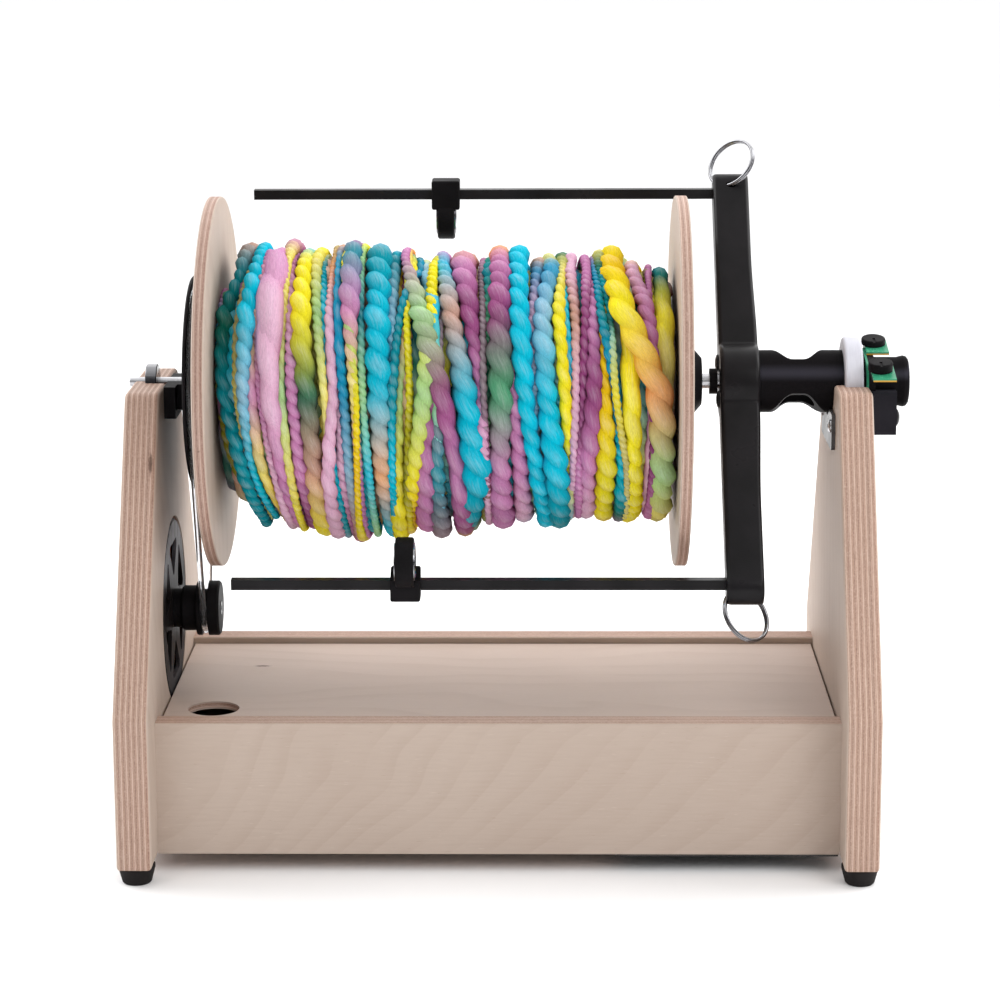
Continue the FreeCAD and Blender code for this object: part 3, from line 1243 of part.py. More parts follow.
def build():
    return {
        "left_upright": left_upright(),
        "right_upright": right_upright(),
        "front_panel": panel(-1),
        "back_panel": panel(1),
        "bottom_panel": bottom_panel(),
        "base_cover": base_cover(),
        "lid_cleats": lid_cleats(),
        "lid": lid(),
        "feet": group([foot(x, y) for x, y in foot_places()]),
        "foot_screws": group([foot_screw(x, y) for x, y in foot_places()]),
        "panel_screws": group([panel_screw(y, z, sx) for y, z in panel_screw_places() for sx in (-1, 1)]),
        "left_bearing_outer": outer_race(),
        "left_bearing_inner": inner_race(),
        "left_bearing_balls": bearing_balls(),
        "left_bearing_block": bearing_block(),
        "left_block_screws": group([block_screw(side, 0.0) for side in (-1, 1)]),
        "motor_mount": motor_mount(),
        "motor_bearing": motor_bearing(),
        "motor_screws": on_motor(group(motor_screws_raw())),
        "motor_stator": motor_stator(),
        "motor_coils": motor_coils(),
        "motor_bell": motor_bell(),
        "motor_magnets": motor_magnets(),
        "motor_shaft": motor_shaft(),
        "motor_pulley": motor_pulley(),
        "motor_pulley_screw": pulley_screw(),
        "drive_belt": drive_belt(),
        "bobbin_whorl": whorl(),
        "bobbin_flange_left": flange(FLANGE_LEFT),
        "bobbin_flange_right": flange(FLANGE_INNER_RIGHT),
        "bobbin_core": bobbin_core(),
        "bobbin_bushes": bobbin_bushes(),
        "bobbin_hub": bobbin_hub(),
        "yarn_core": yarn_core(),
        "yarn_winding": yarn_winding(),
        "flyer_shaft": flyer_shaft(),
        "shaft_collar": shaft_collar(),
        "flyer_arm": flyer_arm(),
        "flyer_rod_upper": flyer_rod(1),
        "flyer_rod_lower": flyer_rod(-1),
        "arm_screws": on_flyer(group([arm_screw(side) for side in (-1, 1)])),
        "orifice_tube": orifice_tube(),
        "hook_upper": hook(1, UPPER_HOOK_X),
        "hook_lower": hook(-1, LOWER_HOOK_X),
        "hook_eyelet_upper": eyelet(1, UPPER_HOOK_X),
        "hook_eyelet_lower": eyelet(-1, LOWER_HOOK_X),
        "guide_ring_upper": guide_ring(False),
        "guide_ring_lower": guide_ring(True),
        "nylon_ring": nylon_ring(),
        "retainer_plate": retainer_plate(),
        "plate_screws": group([plate_screw(side) for side in (-1, 1)]),
        "tube_cradle": cradle(),
        "cradle_screws": group([cradle_screw(side) for side in (-1, 1)]),
        "control_arch_board": arch_board(),
        "control_bracket": control_bracket(),
        "dial_boards": group([dial_board(-FRONT_BOARD_NEAR, -FRONT_BOARD_FAR, -FRONT_DIAL_OUT),
                              dial_board(BACK_BOARD_NEAR, BACK_BOARD_FAR, BACK_DIAL_OUT)]),
        "front_dial": dial(-FRONT_DIAL_OUT, FRONT_DIAL_HEIGHT),
        "back_dial": dial(BACK_DIAL_OUT, BACK_DIAL_HEIGHT),
        "controller_board": group([controller_board(), controller_sink(), standoffs()]),
        "dc_inlet": group([dc_inlet(), inlet_nut()]),
    }


os.makedirs("parts", exist_ok=True)
print_least_gap()
for name, shape in build().items():
    if not shape.isValid():
        print("not valid:", name)
    if shape.Volume < 1:
        print("no volume:", name)
    shape.exportStep("parts/%s.step" % name)
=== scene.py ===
"""Electric spinning wheel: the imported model, its materials, and the yarn wound on the bobbin."""
import json
import math
import random

import bpy
import numpy as np
from mathutils import Matrix, Vector


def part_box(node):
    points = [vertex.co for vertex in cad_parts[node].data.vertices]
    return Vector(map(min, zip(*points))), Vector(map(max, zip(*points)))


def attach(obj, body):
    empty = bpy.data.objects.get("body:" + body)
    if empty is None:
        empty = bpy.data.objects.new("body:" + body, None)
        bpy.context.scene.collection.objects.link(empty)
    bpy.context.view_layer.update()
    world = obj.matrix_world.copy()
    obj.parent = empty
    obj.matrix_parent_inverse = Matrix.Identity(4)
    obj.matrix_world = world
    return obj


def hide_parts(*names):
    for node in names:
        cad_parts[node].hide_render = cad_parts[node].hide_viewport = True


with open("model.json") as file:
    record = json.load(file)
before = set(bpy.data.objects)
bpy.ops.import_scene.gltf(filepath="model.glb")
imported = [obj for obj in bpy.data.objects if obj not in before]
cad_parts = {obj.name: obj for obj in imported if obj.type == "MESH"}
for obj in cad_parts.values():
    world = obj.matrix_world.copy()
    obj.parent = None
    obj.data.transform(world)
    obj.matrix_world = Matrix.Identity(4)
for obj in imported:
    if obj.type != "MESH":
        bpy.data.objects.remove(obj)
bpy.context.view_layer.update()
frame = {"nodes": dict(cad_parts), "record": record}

# Camera, from the fit to the photograph: metres and degrees.
CAMERA_PLACE = (0.025316, -1.560707, 0.513896)
CAMERA_DOWN = 12.2004
CAMERA_YAW = -0.9252
CAMERA_ROLL = -0.2182
CAMERA_LENS = 107.292
CAMERA_SENSOR = 36.0

# The shaft that the bobbin and the flyer turn about.
SHAFT_HEIGHT = 0.2409
MM = 0.001


def linear(red, green, blue):
    """A colour on the screen, 0 to 255, as the shader's linear colour."""
    parts = [((c / 255 + 0.055) / 1.055) ** 2.4 if c > 10 else c / 255 / 12.92 for c in (red, green, blue)]
    return tuple(parts) + (1.0,)


def add_camera():
    down, yaw, roll = (math.radians(a) for a in (CAMERA_DOWN, CAMERA_YAW, CAMERA_ROLL))
    forward = Vector((math.sin(yaw) * math.cos(down), math.cos(yaw) * math.cos(down), -math.sin(down)))
    right = Vector((math.cos(yaw), -math.sin(yaw), 0))
    up = right.cross(forward)
    right, up = right * math.cos(roll) + up * math.sin(roll), up * math.cos(roll) - right * math.sin(roll)
    data = bpy.data.cameras.new("camera")
    data.lens = CAMERA_LENS
    data.sensor_width = CAMERA_SENSOR
    camera = bpy.data.objects.new("camera", data)
    facing = Matrix((right, up, -forward)).transposed().to_4x4()
    camera.matrix_world = Matrix.Translation(CAMERA_PLACE) @ facing
    bpy.context.scene.collection.objects.link(camera)
    bpy.context.scene.camera = camera


class Paint:
    """The node tree of one material."""

    def __init__(self, name, **sockets):
        self.material = bpy.data.materials.new(name)
        self.material.use_nodes = True
        self.tree = self.material.node_tree
        self.shader = self.tree.nodes["Principled BSDF"]
        for key, value in sockets.items():
            self.shader.inputs[key.replace("_", " ")].default_value = value
        coordinates = self.tree.nodes.new("ShaderNodeTexCoord")
        self.place = coordinates.outputs["Object"]
        self.normal = coordinates.outputs["Normal"]

    def feed(self, socket, value):
        if isinstance(value, bpy.types.NodeSocket):
            self.tree.links.new(value, socket)
        else:
            socket.default_value = value

    def math(self, operation, a, b=0.5, c=0.5):
        node = self.tree.nodes.new("ShaderNodeMath")
        node.operation = operation
        for socket, value in zip(node.inputs, (a, b, c)):
            self.feed(socket, value)
        return node.outputs[0]

    def times(self, a, b):
        return self.math("MULTIPLY", a, b)

    def step(self, value, low, high, start=0.0, end=1.0):
        """A smooth step of a value, from start at low to end at high."""
        node = self.tree.nodes.new("ShaderNodeMapRange")
        node.interpolation_type = "SMOOTHSTEP"
        for socket, number in zip(node.inputs, (value, low, high, start, end)):
            self.feed(socket, number)
        return node.outputs[0]

    def mix(self, amount, a, b, blend="MIX"):
        node = self.tree.nodes.new("ShaderNodeMix")
        node.data_type = "RGBA"
        node.blend_type = blend
        self.feed(node.inputs["Factor"], amount)
        self.feed(node.inputs[6], a)
        self.feed(node.inputs[7], b)
        return node.outputs[2]

    def stretch(self, scale, place=None):
        node = self.tree.nodes.new("ShaderNodeMapping")
        self.feed(node.inputs["Vector"], place or self.place)
        node.inputs["Scale"].default_value = scale
        return node.outputs[0]

    def noise(self, scale, detail=3.0, roughness=0.5, place=None, distortion=0.0):
        """Noise of so many waves a metre, alike or different along the three axes."""
        scale = scale if isinstance(scale, tuple) else (scale, scale, scale)
        node = self.tree.nodes.new("ShaderNodeTexNoise")
        self.feed(node.inputs["Vector"], self.stretch(scale, place))
        settings = {"Scale": 1.0, "Detail": detail, "Roughness": roughness, "Distortion": distortion}
        for key, value in settings.items():
            node.inputs[key].default_value = value
        return node.outputs[0]

    def split(self, place=None):
        node = self.tree.nodes.new("ShaderNodeSeparateXYZ")
        self.feed(node.inputs[0], place or self.place)
        return node.outputs

    def distance(self, point, radii=(1.0, 1.0, 1.0)):
        """How far a place is from a point, counted in radii along the three axes."""
        node = self.tree.nodes.new("ShaderNodeVectorMath")
        node.operation = "DISTANCE"
        scale = tuple(1 / radius for radius in radii)
        self.feed(node.inputs[0], self.stretch(scale))
        node.inputs[1].default_value = tuple(p * k for p, k in zip(point, scale))
        return node.outputs["Value"]

    def moved(self, far):
        """The object's places, moved so that a noise differs from piece to piece."""
        node = self.tree.nodes.new("ShaderNodeVectorMath")
        node.operation = "ADD"
        self.feed(node.inputs[0], self.place)
        node.inputs[1].default_value = (far, far * 0.7, far * 1.3)
        return node.outputs[0]

    def attribute(self, name, output="Color"):
        node = self.tree.nodes.new("ShaderNodeAttribute")
        node.attribute_name = name
        return node.outputs[output]

    def bump(self, height, distance, strength=1.0):
        node = self.tree.nodes.new("ShaderNodeBump")
        node.inputs["Distance"].default_value = distance
        node.inputs["Strength"].default_value = strength
        self.feed(node.inputs["Height"], height)
        self.feed(self.shader.inputs["Normal"], node.outputs[0])

    def colour(self, value):
        self.feed(self.shader.inputs["Base Color"], value)

    def rough(self, value):
        self.feed(self.shader.inputs["Roughness"], value)


# Birch plywood, its face veneer and the plies on its edges, and the black parts.
VENEER = linear(190, 173, 160)
VENEER_LATE = linear(164, 142, 127)
VENEER_FLECK = linear(148, 122, 104)
VENEER_PALE = linear(220, 208, 196)
VENEER_CLOUD = linear(164, 142, 128)
PLY_LONG = linear(192, 163, 147)
PLY_CROSS = linear(158, 126, 109)
PLY_GLUE = linear(120, 86, 70)
PLY_PALE = linear(224, 200, 182)
PLY_RED = linear(188, 150, 130)
PLY_SPECK = linear(226, 202, 186)
WOOD_MARK = linear(84, 60, 48)
BLACK = linear(28, 26, 28)
BLACK_SHADE = linear(18, 17, 18)
AXES = {"x": 0, "y": 1, "z": 2}


def along(axis, lengthwise, across):
    """Three scales of a noise, with one scale for the named axis."""
    return tuple(lengthwise if letter == axis else across for letter in "xyz")


def veneer(paint, grain, rise, seed):
    """The face: fine fibres, short flecks and faint growth lines; rise is the lines' gradient, per metre."""
    axes = paint.split()
    fibres = paint.noise(along(grain, 50.0, 850.0), 3.0, 0.6)
    dark = paint.step(paint.noise(along(grain, 210.0, 1500.0), 1.0), 0.68, 0.78)
    other = paint.noise(along(grain, 160.0, 1300.0), 1.0, place=paint.moved(seed + 3.0))
    pale = paint.step(other, 0.68, 0.80)
    waves = paint.noise(along(grain, 4.0, 8.0), 2.0, 0.45, paint.moved(seed), 0.3)
    level = paint.times(waves, 7.0)
    for axis, amount in zip(axes, rise):
        level = paint.math("ADD", level, paint.times(axis, amount))
    ring = paint.math("FRACT", level)
    late = paint.times(paint.step(ring, 0.35, 0.93), paint.step(ring, 0.93, 1.0, 1.0, 0.0))
    patches = paint.noise(30.0, 2.0, place=paint.moved(seed + 1.0))
    late = paint.times(late, paint.step(patches, 0.3, 0.6, 0.25, 1.0))
    face = paint.mix(paint.times(late, 0.20), VENEER, VENEER_LATE)
    face = paint.mix(paint.step(fibres, 0.35, 0.75, 0.0, 0.16), face, VENEER_LATE)
    face = paint.mix(paint.times(dark, 0.22), face, VENEER_FLECK)
    face = paint.mix(paint.times(pale, 0.20), face, VENEER_PALE)
    relief = paint.math("SUBTRACT", paint.times(fibres, 0.6), paint.times(dark, 0.6))
    return face, relief


def ply_edges(paint, thick, depth):
    """Stripes of uneven tone, each ply speckled along its length, with pale and dark joints in turn."""
    uneven = paint.math("SUBTRACT", paint.noise(along(thick, 300.0, 10.0), 2.0), 0.5)
    depth = paint.math("ADD", depth, paint.times(uneven, 0.34))
    ply = paint.math("FLOOR", depth)
    odd = paint.math("MODULO", ply, 2.0)
    wave = paint.math("SINE", paint.times(ply, 12.9))
    hue = paint.math("FRACT", paint.times(wave, 43.7))
    dashes = paint.noise(along(thick, 2200.0, 150.0), 2.0, 0.6)
    speckle = paint.noise(along(thick, 1500.0, 900.0), 2.0, 0.7)
    edge = paint.mix(paint.times(odd, 0.45), PLY_LONG, PLY_CROSS)
    edge = paint.mix(paint.times(hue, 0.55), edge, PLY_RED)
    edge = paint.mix(paint.step(dashes, 0.42, 0.66, 0.0, 0.45), edge, PLY_CROSS)
    edge = paint.mix(paint.step(speckle, 0.50, 0.72, 0.0, 0.35), edge, PLY_GLUE)
    edge = paint.mix(paint.step(speckle, 0.46, 0.28, 0.0, 0.30), edge, PLY_SPECK)
    joint = paint.math("ROUND", depth)
    near = paint.math("ABSOLUTE", paint.math("SUBTRACT", depth, joint))
    pale = paint.math("MODULO", joint, 2.0)
    dark = paint.math("SUBTRACT", 1.0, pale)
    pale = paint.times(pale, paint.step(near, 0.14, 0.25, 0.75, 0.0))
    pale = paint.times(pale, paint.step(dashes, 0.3, 0.6, 0.3, 1.0))
    dark = paint.times(dark, paint.step(near, 0.09, 0.20, 0.62, 0.0))
    dark = paint.times(dark, paint.step(speckle, 0.3, 0.6, 0.35, 1.0))
    edge = paint.mix(pale, edge, PLY_PALE)
    return paint.mix(dark, edge, PLY_GLUE)


def plywood(name, thick, low, size, plies, grain, rise, marks, tint, edge_tint_and_shade, seed):
    """Sheet with its plies across one axis and the face's grain along another; marks are (point, radii)."""
    paint = Paint(name, Specular_IOR_Level=0.3)
    depth = paint.math("DIVIDE", paint.math("SUBTRACT", paint.split()[AXES[thick]], low), size / plies)
    face, relief = veneer(paint, grain, rise, seed)
    edge = paint.mix(1.0, ply_edges(paint, thick, depth), edge_tint_and_shade + (1.0,), "MULTIPLY")
    first = paint.step(depth, 0.45, 0.6, 1.0, 0.0)
    last = paint.step(depth, plies - 0.6, plies - 0.45)
    outer = paint.math("MAXIMUM", first, last)
    colour = paint.mix(outer, edge, face)
    colour = paint.mix(paint.step(paint.noise(9.0, 2.0), 0.35, 0.7, 0.0, 0.14), colour, VENEER_CLOUD)
    for point, radii in marks:
        far = paint.math("ADD", paint.distance(point, radii), paint.times(paint.noise(700.0), 0.7))
        colour = paint.mix(paint.step(far, 0.7, 1.5, 0.85, 0.0), colour, WOOD_MARK)
    paint.colour(paint.mix(1.0, colour, tint + (1.0,), "MULTIPLY"))
    paint.rough(paint.step(relief, 0.1, 0.5, 0.62, 0.52))
    paint.bump(relief, 0.00004)
    return paint.material


def moulded(name, colour, shade, roughness, grain=2400.0, depth=0.00003, lines=None, **sockets):
    """Plastic or painted metal with a fine grain, or with tool lines across one axis."""
    paint = Paint(name, **sockets)
    fine = paint.noise(grain, 3.0, 0.6)
    if lines:
        scale = [140.0, 140.0, 140.0]
        scale[AXES[lines]] = 5200.0
        fine = paint.noise(tuple(scale), 2.0, 0.5)
    broad = paint.noise(45.0, 3.0)
    cloud = paint.math("ADD", paint.times(fine, 0.5), broad)
    paint.colour(paint.mix(paint.step(cloud, 0.5, 1.0), colour, shade))
    paint.rough(paint.step(broad, 0.3, 0.75, roughness - 0.05, roughness + 0.07))
    paint.bump(fine, depth)
    return paint.material


def tube_black(name):
    """Satin black with a painted highlight, a soft paler stripe along its upper front."""
    paint = Paint(name, Specular_IOR_Level=0.008)
    facing = paint.split(paint.normal)
    fine = paint.noise(3200.0, 2.0)
    # Painted highlight: a paler stripe on the faces turned up and to the front, in place of a real
    # highlight.
    painted_highlight = paint.math("ABSOLUTE", paint.math("SUBTRACT", facing[2], 0.42))
    painted_highlight = paint.step(painted_highlight, 0.0, 0.30, 1.0, 0.0)
    painted_highlight = paint.times(painted_highlight, paint.step(facing[1], -0.2, -0.6, 0.0, 1.0))
    black = paint.mix(paint.step(fine, 0.3, 0.7), BLACK_SHADE, BLACK)
    paint.colour(paint.mix(paint.times(painted_highlight, 0.55), black, linear(66, 65, 74)))
    paint.rough(paint.step(fine, 0.3, 0.7, 0.36, 0.44))
    paint.bump(fine, 0.00001)
    return paint.material


def metal(name, colour, shade, roughness, scratches=(90.0, 1600.0, 1600.0), depth=0.00001):
    paint = Paint(name, Metallic=1.0)
    lines = paint.noise(scratches, 3.0, 0.6)
    paint.colour(paint.mix(paint.step(lines, 0.3, 0.7), colour, shade))
    paint.rough(paint.step(paint.noise(70.0), 0.3, 0.7, roughness, roughness + 0.1))
    paint.bump(lines, depth)
    return paint.material


def chrome(name, shield, brightness):
    """Polished steel with a painted dark reflection across its front and painted shade on its underside, and
    a dark shield where it faces along the shaft.
    """
    paint = Paint(name, Metallic=1.0)
    facing = paint.split(paint.normal)
    side = paint.step(facing[0], shield, shield + 0.2)
    # Painted dark reflection in a stripe across the front, and painted shade on the faces turned down.
    dark_reflection = paint.step(paint.math("ABSOLUTE", paint.math("SUBTRACT", facing[2], 0.15)), 0.12, 0.5, 1.0, 0.0)
    under = paint.step(facing[2], -0.55, -0.25, 0.6, 0.0)
    dark_reflection = paint.math("MAXIMUM", dark_reflection, under)
    speck = paint.noise(900.0, 2.0)
    dark_reflection = paint.times(dark_reflection, paint.step(speck, 0.25, 0.6, 0.7, 1.0))
    bright = paint.mix(dark_reflection, linear(brightness, brightness, brightness + 3), linear(70, 69, 73))
    paint.colour(paint.mix(side, bright, linear(26, 25, 27)))
    paint.rough(paint.step(speck, 0.3, 0.7, 0.10, 0.18))
    paint.bump(speck, 0.00001)
    return paint.material


# Lean of the dial boards in degrees, and how high their lower plane passes at y = 0, in metres.
BOARD_TILT = 12.2
BOARD_LOW = 0.2556


def board(name, amber):
    """Green solder mask with paler tracks under it and an amber edge."""
    paint = Paint(name, Coat_Weight=0.12, Coat_Roughness=0.3, Specular_IOR_Level=0.1)
    lines = paint.noise((420.0, 70.0, 420.0), 1.0)
    tracks = paint.step(paint.math("ABSOLUTE", paint.math("SUBTRACT", lines, 0.5)), 0.01, 0.03, 0.5, 0.0)
    cloud = paint.noise(60.0)
    mask = paint.mix(paint.step(cloud, 0.3, 0.7), linear(36, 124, 90), linear(54, 146, 110))
    mask = paint.mix(tracks, mask, linear(98, 176, 142))
    tilt = math.radians(BOARD_TILT)
    axes = paint.split()
    rise = paint.times(paint.math("SUBTRACT", axes[2], BOARD_LOW), math.cos(tilt))
    rise = paint.math("SUBTRACT", rise, paint.times(axes[1], math.sin(tilt)))
    low = paint.step(rise, 0.0007, 0.0010, 1.0, 0.0)
    front = paint.step(paint.split(paint.normal)[1], -0.8, -0.5, 1.0, 0.0)
    rim = paint.times(low, front)
    paint.colour(paint.mix(paint.times(rim, amber), mask, linear(196, 148, 62)))
    paint.rough(paint.step(cloud, 0.3, 0.7, 0.25, 0.36))
    paint.bump(tracks, 0.00004)
    return paint.material


def bell(name):
    """Black rotor with a painted pale reflection towards its top, and a little low down."""
    paint = Paint(name, Specular_IOR_Level=0.02)
    height = paint.split()[2]
    cloud = paint.noise((60.0, 260.0, 60.0), 2.0)
    # Painted reflection: paler colour high up and low down on the glossy black.
    top = paint.step(height, 0.128, 0.158)
    painted_reflection = paint.math("MAXIMUM", top, paint.step(height, 0.098, 0.084, 0.0, 0.18))
    painted_reflection = paint.times(painted_reflection, paint.step(cloud, 0.35, 0.6, 0.45, 1.0))
    paint.colour(paint.mix(painted_reflection, linear(30, 27, 27), linear(134, 132, 138)))
    paint.rough(paint.step(cloud, 0.3, 0.7, 0.4, 0.5))
    paint.bump(cloud, 0.00002)
    return paint.material


def clear_cord(name):
    paint = Paint(name, Roughness=0.06, Transmission_Weight=0.95, IOR=1.35)
    haze = paint.noise(300.0)
    paint.colour(paint.mix(paint.step(haze, 0.3, 0.7), linear(240, 241, 243), linear(222, 224, 228)))
    paint.bump(haze, 0.00003)
    return paint.material


record_slots = {part["node"]: part["material_slot"] for part in frame["record"]["subparts"]}


# The wooden nodes: the axis across the plies, their number, the way of the face's grain, and the gradient of
# its growth lines along the three axes, per metre.
SHEETS = {
    "left_upright": ("x", 13, "z", (0.0, 60.0, 14.0)),
    "right_upright": ("x", 13, "z", (0.0, -55.0, 12.0)),
    "front_panel": ("y", 11, "x", (46.0, 0.0, -56.0)),
    "back_panel": ("y", 11, "x", (6.0, 0.0, -48.0)),
    "bottom_panel": ("z", 5, "x", (6.0, 40.0, 0.0)),
    "lid_cleats": ("z", 5, "x", (6.0, 40.0, 0.0)),
    "lid": ("z", 3, "x", (3.0, 42.0, 0.0)),
    "bobbin_flange_left": ("x", 5, "z", (0.0, 50.0, 20.0)),
    "bobbin_flange_right": ("x", 5, "z", (0.0, 44.0, -16.0)),
    "bobbin_core": ("y", 24, "x", (6.0, 40.0, 0.0)),
}
# Dark marks: their point and their radii, in metres.
WOOD_MARKS = {
    "left_upright": (((-0.1855, -0.114, 0.110), (0.0012, 0.002, 0.0014)),
                     ((-0.179, -0.0583, 0.2076), (0.0012, 0.004, 0.0100))),
    "right_upright": (((0.1835, -0.113, 0.072), (0.0011, 0.002, 0.0013)),),
    "lid": (((-0.132, 0.03, 0.076), (0.005, 0.0018, 0.002)),),
    "bobbin_flange_left": (((-0.1495, -0.0975, 0.222), (0.001, 0.002, 0.001)),),
}
# Tints over the whole sheet and over its edges; the edge tints darken the edges towards their tone, and the
# left upright's and left flange's edges more than the right ones' as painted shade.
PLAIN = (1.0, 1.0, 1.0)
TINTS = {"lid": (1.05, 1.04, 1.07)}
EDGE_TINTS_AND_SHADE = {
    "left_upright": (0.90, 0.90, 0.91), "right_upright": (0.95, 0.94, 0.94),
    "back_panel": (0.83, 0.80, 0.80),
    "bobbin_flange_left": (0.79, 0.76, 0.78), "bobbin_flange_right": (0.87, 0.85, 0.87),
}
SEED_STEP = 0.731


def wood_materials():
    """One sheet material for each wooden node."""
    made = {}
    for number, (node, (thick, plies, grain, rise)) in enumerate(SHEETS.items()):
        low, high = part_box(node)
        axis = AXES[thick]
        size = high[axis] - low[axis]
        made[node] = plywood("wood_" + node, thick, low[axis], size, plies, grain, rise,
                             WOOD_MARKS.get(node, ()), TINTS.get(node, PLAIN), EDGE_TINTS_AND_SHADE.get(node, PLAIN),
                             number * SEED_STEP)
    return made


def slot_materials():
    return {
        "dark_sheet": moulded("dark_sheet", linear(60, 58, 58), linear(44, 42, 42), 0.7),
        "rubber": moulded("rubber", linear(32, 28, 28), linear(22, 19, 19), 0.75, 1800.0, 0.00006,
                           Specular_IOR_Level=0.2),
        "steel": metal("steel", linear(208, 208, 210), linear(176, 176, 180), 0.22),
        "chrome": chrome("chrome", 2.0, 160),
        "bearing": chrome("bearing", 0.5, 132),
        "black_plastic": moulded("black_plastic", BLACK, BLACK_SHADE, 0.5, Specular_IOR_Level=0.04),
        "black_metal": moulded("black_metal", BLACK, BLACK_SHADE, 0.32, 3000.0, 0.000015,
                               Specular_IOR_Level=0.12),
        "satin_black": tube_black("satin_black"),
        "cradle_black": moulded("cradle_black", linear(42, 41, 47), linear(33, 32, 37), 0.5,
                                Specular_IOR_Level=0.03),
        "black_screw": moulded("black_screw", linear(40, 39, 41), linear(20, 20, 21), 0.3, 2600.0, 0.00002,
                               Metallic=0.7),
        "bell": bell("bell"),
        "iron": metal("iron", linear(96, 94, 94), linear(64, 62, 62), 0.45, (5200.0, 90.0, 90.0), 0.00003),
        "copper": metal("copper", linear(206, 132, 88), linear(150, 84, 50), 0.3, (900.0, 900.0, 120.0),
                        0.00003),
        "clear_belt": clear_cord("clear_belt"),
        "green_board": board("green_board", 0.0),
        "dial_board": board("dial_board", 1.0),
        "white_nylon": moulded("white_nylon", linear(212, 212, 220), linear(196, 196, 205), 0.6, 1500.0,
                               0.00002, "x", Specular_IOR_Level=0.1),
        "grey_plate": moulded("grey_plate", linear(90, 88, 89), linear(60, 58, 59), 0.3, 700.0, 0.00004,
                              Specular_IOR_Level=0.12),
    }


# Nodes whose look differs from the rest of their slot.
OWN_MATERIAL = {
    "motor_bell": "bell", "orifice_tube": "satin_black", "motor_pulley_screw": "black_screw",
    "left_bearing_outer": "bearing", "left_bearing_inner": "bearing", "dial_boards": "dial_board",
    "tube_cradle": "cradle_black",
}


def dress_nodes(slots, woods):
    for name, node in frame["nodes"].items():
        material = woods.get(name) or slots.get(OWN_MATERIAL.get(name, record_slots[name]))
        if material:
            node.data.materials.clear()
            node.data.materials.append(material)


# Strength of the sky at the horizon and at the zenith, and its share from before and from behind the object.
SKY_LOW = 0.6
SKY_HIGH = 1.55
SKY_BEFORE = 0.35
SKY_BEHIND = 1.35
# Soft lamps: name, place, width and power.
LAMPS = (
    ("key", (1.2, -1.5, 1.4), 1.2, 14.0), ("fill", (-1.3, -1.5, 1.8), 1.4, 4.0),
    ("back", (0.2, 1.5, 1.4), 1.6, 5.0), ("left", (-1.6, 0.5, 1.3), 1.4, 22.0),
    ("right", (1.6, 0.4, 1.3), 1.4, 22.0),
)
LAMP_AIM = (0, 0, 0.18)
FLOOR_HALF = 30.0


def add_sky():
    """A pale studio: brighter overhead and behind the object than at the camera's side."""
    world = bpy.data.worlds.new("studio")
    world.use_nodes = True
    tree = world.node_tree
    axes = tree.nodes.new("ShaderNodeSeparateXYZ")
    tree.links.new(tree.nodes.new("ShaderNodeTexCoord").outputs["Generated"], axes.inputs[0])
    shares = []
    for axis, start, low, high in (("Z", 0.0, SKY_LOW, SKY_HIGH), ("Y", -1.0, SKY_BEFORE, SKY_BEHIND)):
        node = tree.nodes.new("ShaderNodeMapRange")
        for socket, value in zip(list(node.inputs)[1:5], (start, 1.0, low, high)):
            socket.default_value = value
        tree.links.new(axes.outputs[axis], node.inputs[0])
        shares.append(node.outputs[0])
    product = tree.nodes.new("ShaderNodeMath")
    product.operation = "MULTIPLY"
    for share, socket in zip(shares, product.inputs):
        tree.links.new(share, socket)
    background = tree.nodes["Background"]
    background.inputs["Color"].default_value = (1.0, 1.0, 1.0, 1.0)
    tree.links.new(product.outputs[0], background.inputs["Strength"])
    bpy.context.scene.world = world


def add_stage():
    """Pale floor, soft sky and the lamps."""
    size = FLOOR_HALF
    mesh = bpy.data.meshes.new("floor")
    corners = [(-size, -size, 0), (size, -size, 0), (size, size, 0), (-size, size, 0)]
    mesh.from_pydata(corners, [], [(0, 1, 2, 3)])
    floor = bpy.data.objects.new("floor", mesh)
    bpy.context.scene.collection.objects.link(floor)
    paint = Paint("pale_floor", Roughness=0.9, Specular_IOR_Level=0.2)
    paint.colour(paint.mix(paint.noise(3.0), linear(252, 252, 252), linear(249, 249, 250)))
    mesh.materials.append(paint.material)
    add_sky()
    for name, place, width, power in LAMPS:
        data = bpy.data.lights.new(name, "AREA")
        data.size = width
        data.energy = power
        lamp = bpy.data.objects.new(name, data)
        lamp.location = place
        aim = Vector(LAMP_AIM) - Vector(place)
        lamp.rotation_euler = aim.to_track_quat("-Z", "Y").to_euler()
        bpy.context.scene.collection.objects.link(lamp)
    bpy.context.scene.view_settings.view_transform = "Standard"


# The flyer's arm, in millimetres: X runs along the shaft, and the bar stands across it at the flyer's turn.
FLYER_TURN = 42.0
ARM_FACES = (116.5, 135.8)
ARM_HALF = 9.0
ARM_REACH = 133.0
ARM_CORNER = 2.5
HUB_RADIUS = 18.8
HUB_RISE = 1.5
HUB_BLEND = 4.0
FLARE_REACH = 78.0
RING_RADIUS = 13.9
RING_TUNNEL = 1.9
RING_NORMAL = (-0.5924, -0.5987, 0.5391)
TUNNEL_RINGS = 72
TUNNEL_SIDES = 16
ARM_STATIONS = 63            # along the whole arm
HUB_STATIONS = 60            # along its hub
END_STEP = 5                 # degrees between stations round its ends
CORNER_STEPS = 5             # round each corner of its section
ARM_CREASE = 35              # degrees


def smoothstep(value):
    value = min(max(value, 0.0), 1.0)
    return value * value * (3 - 2 * value)


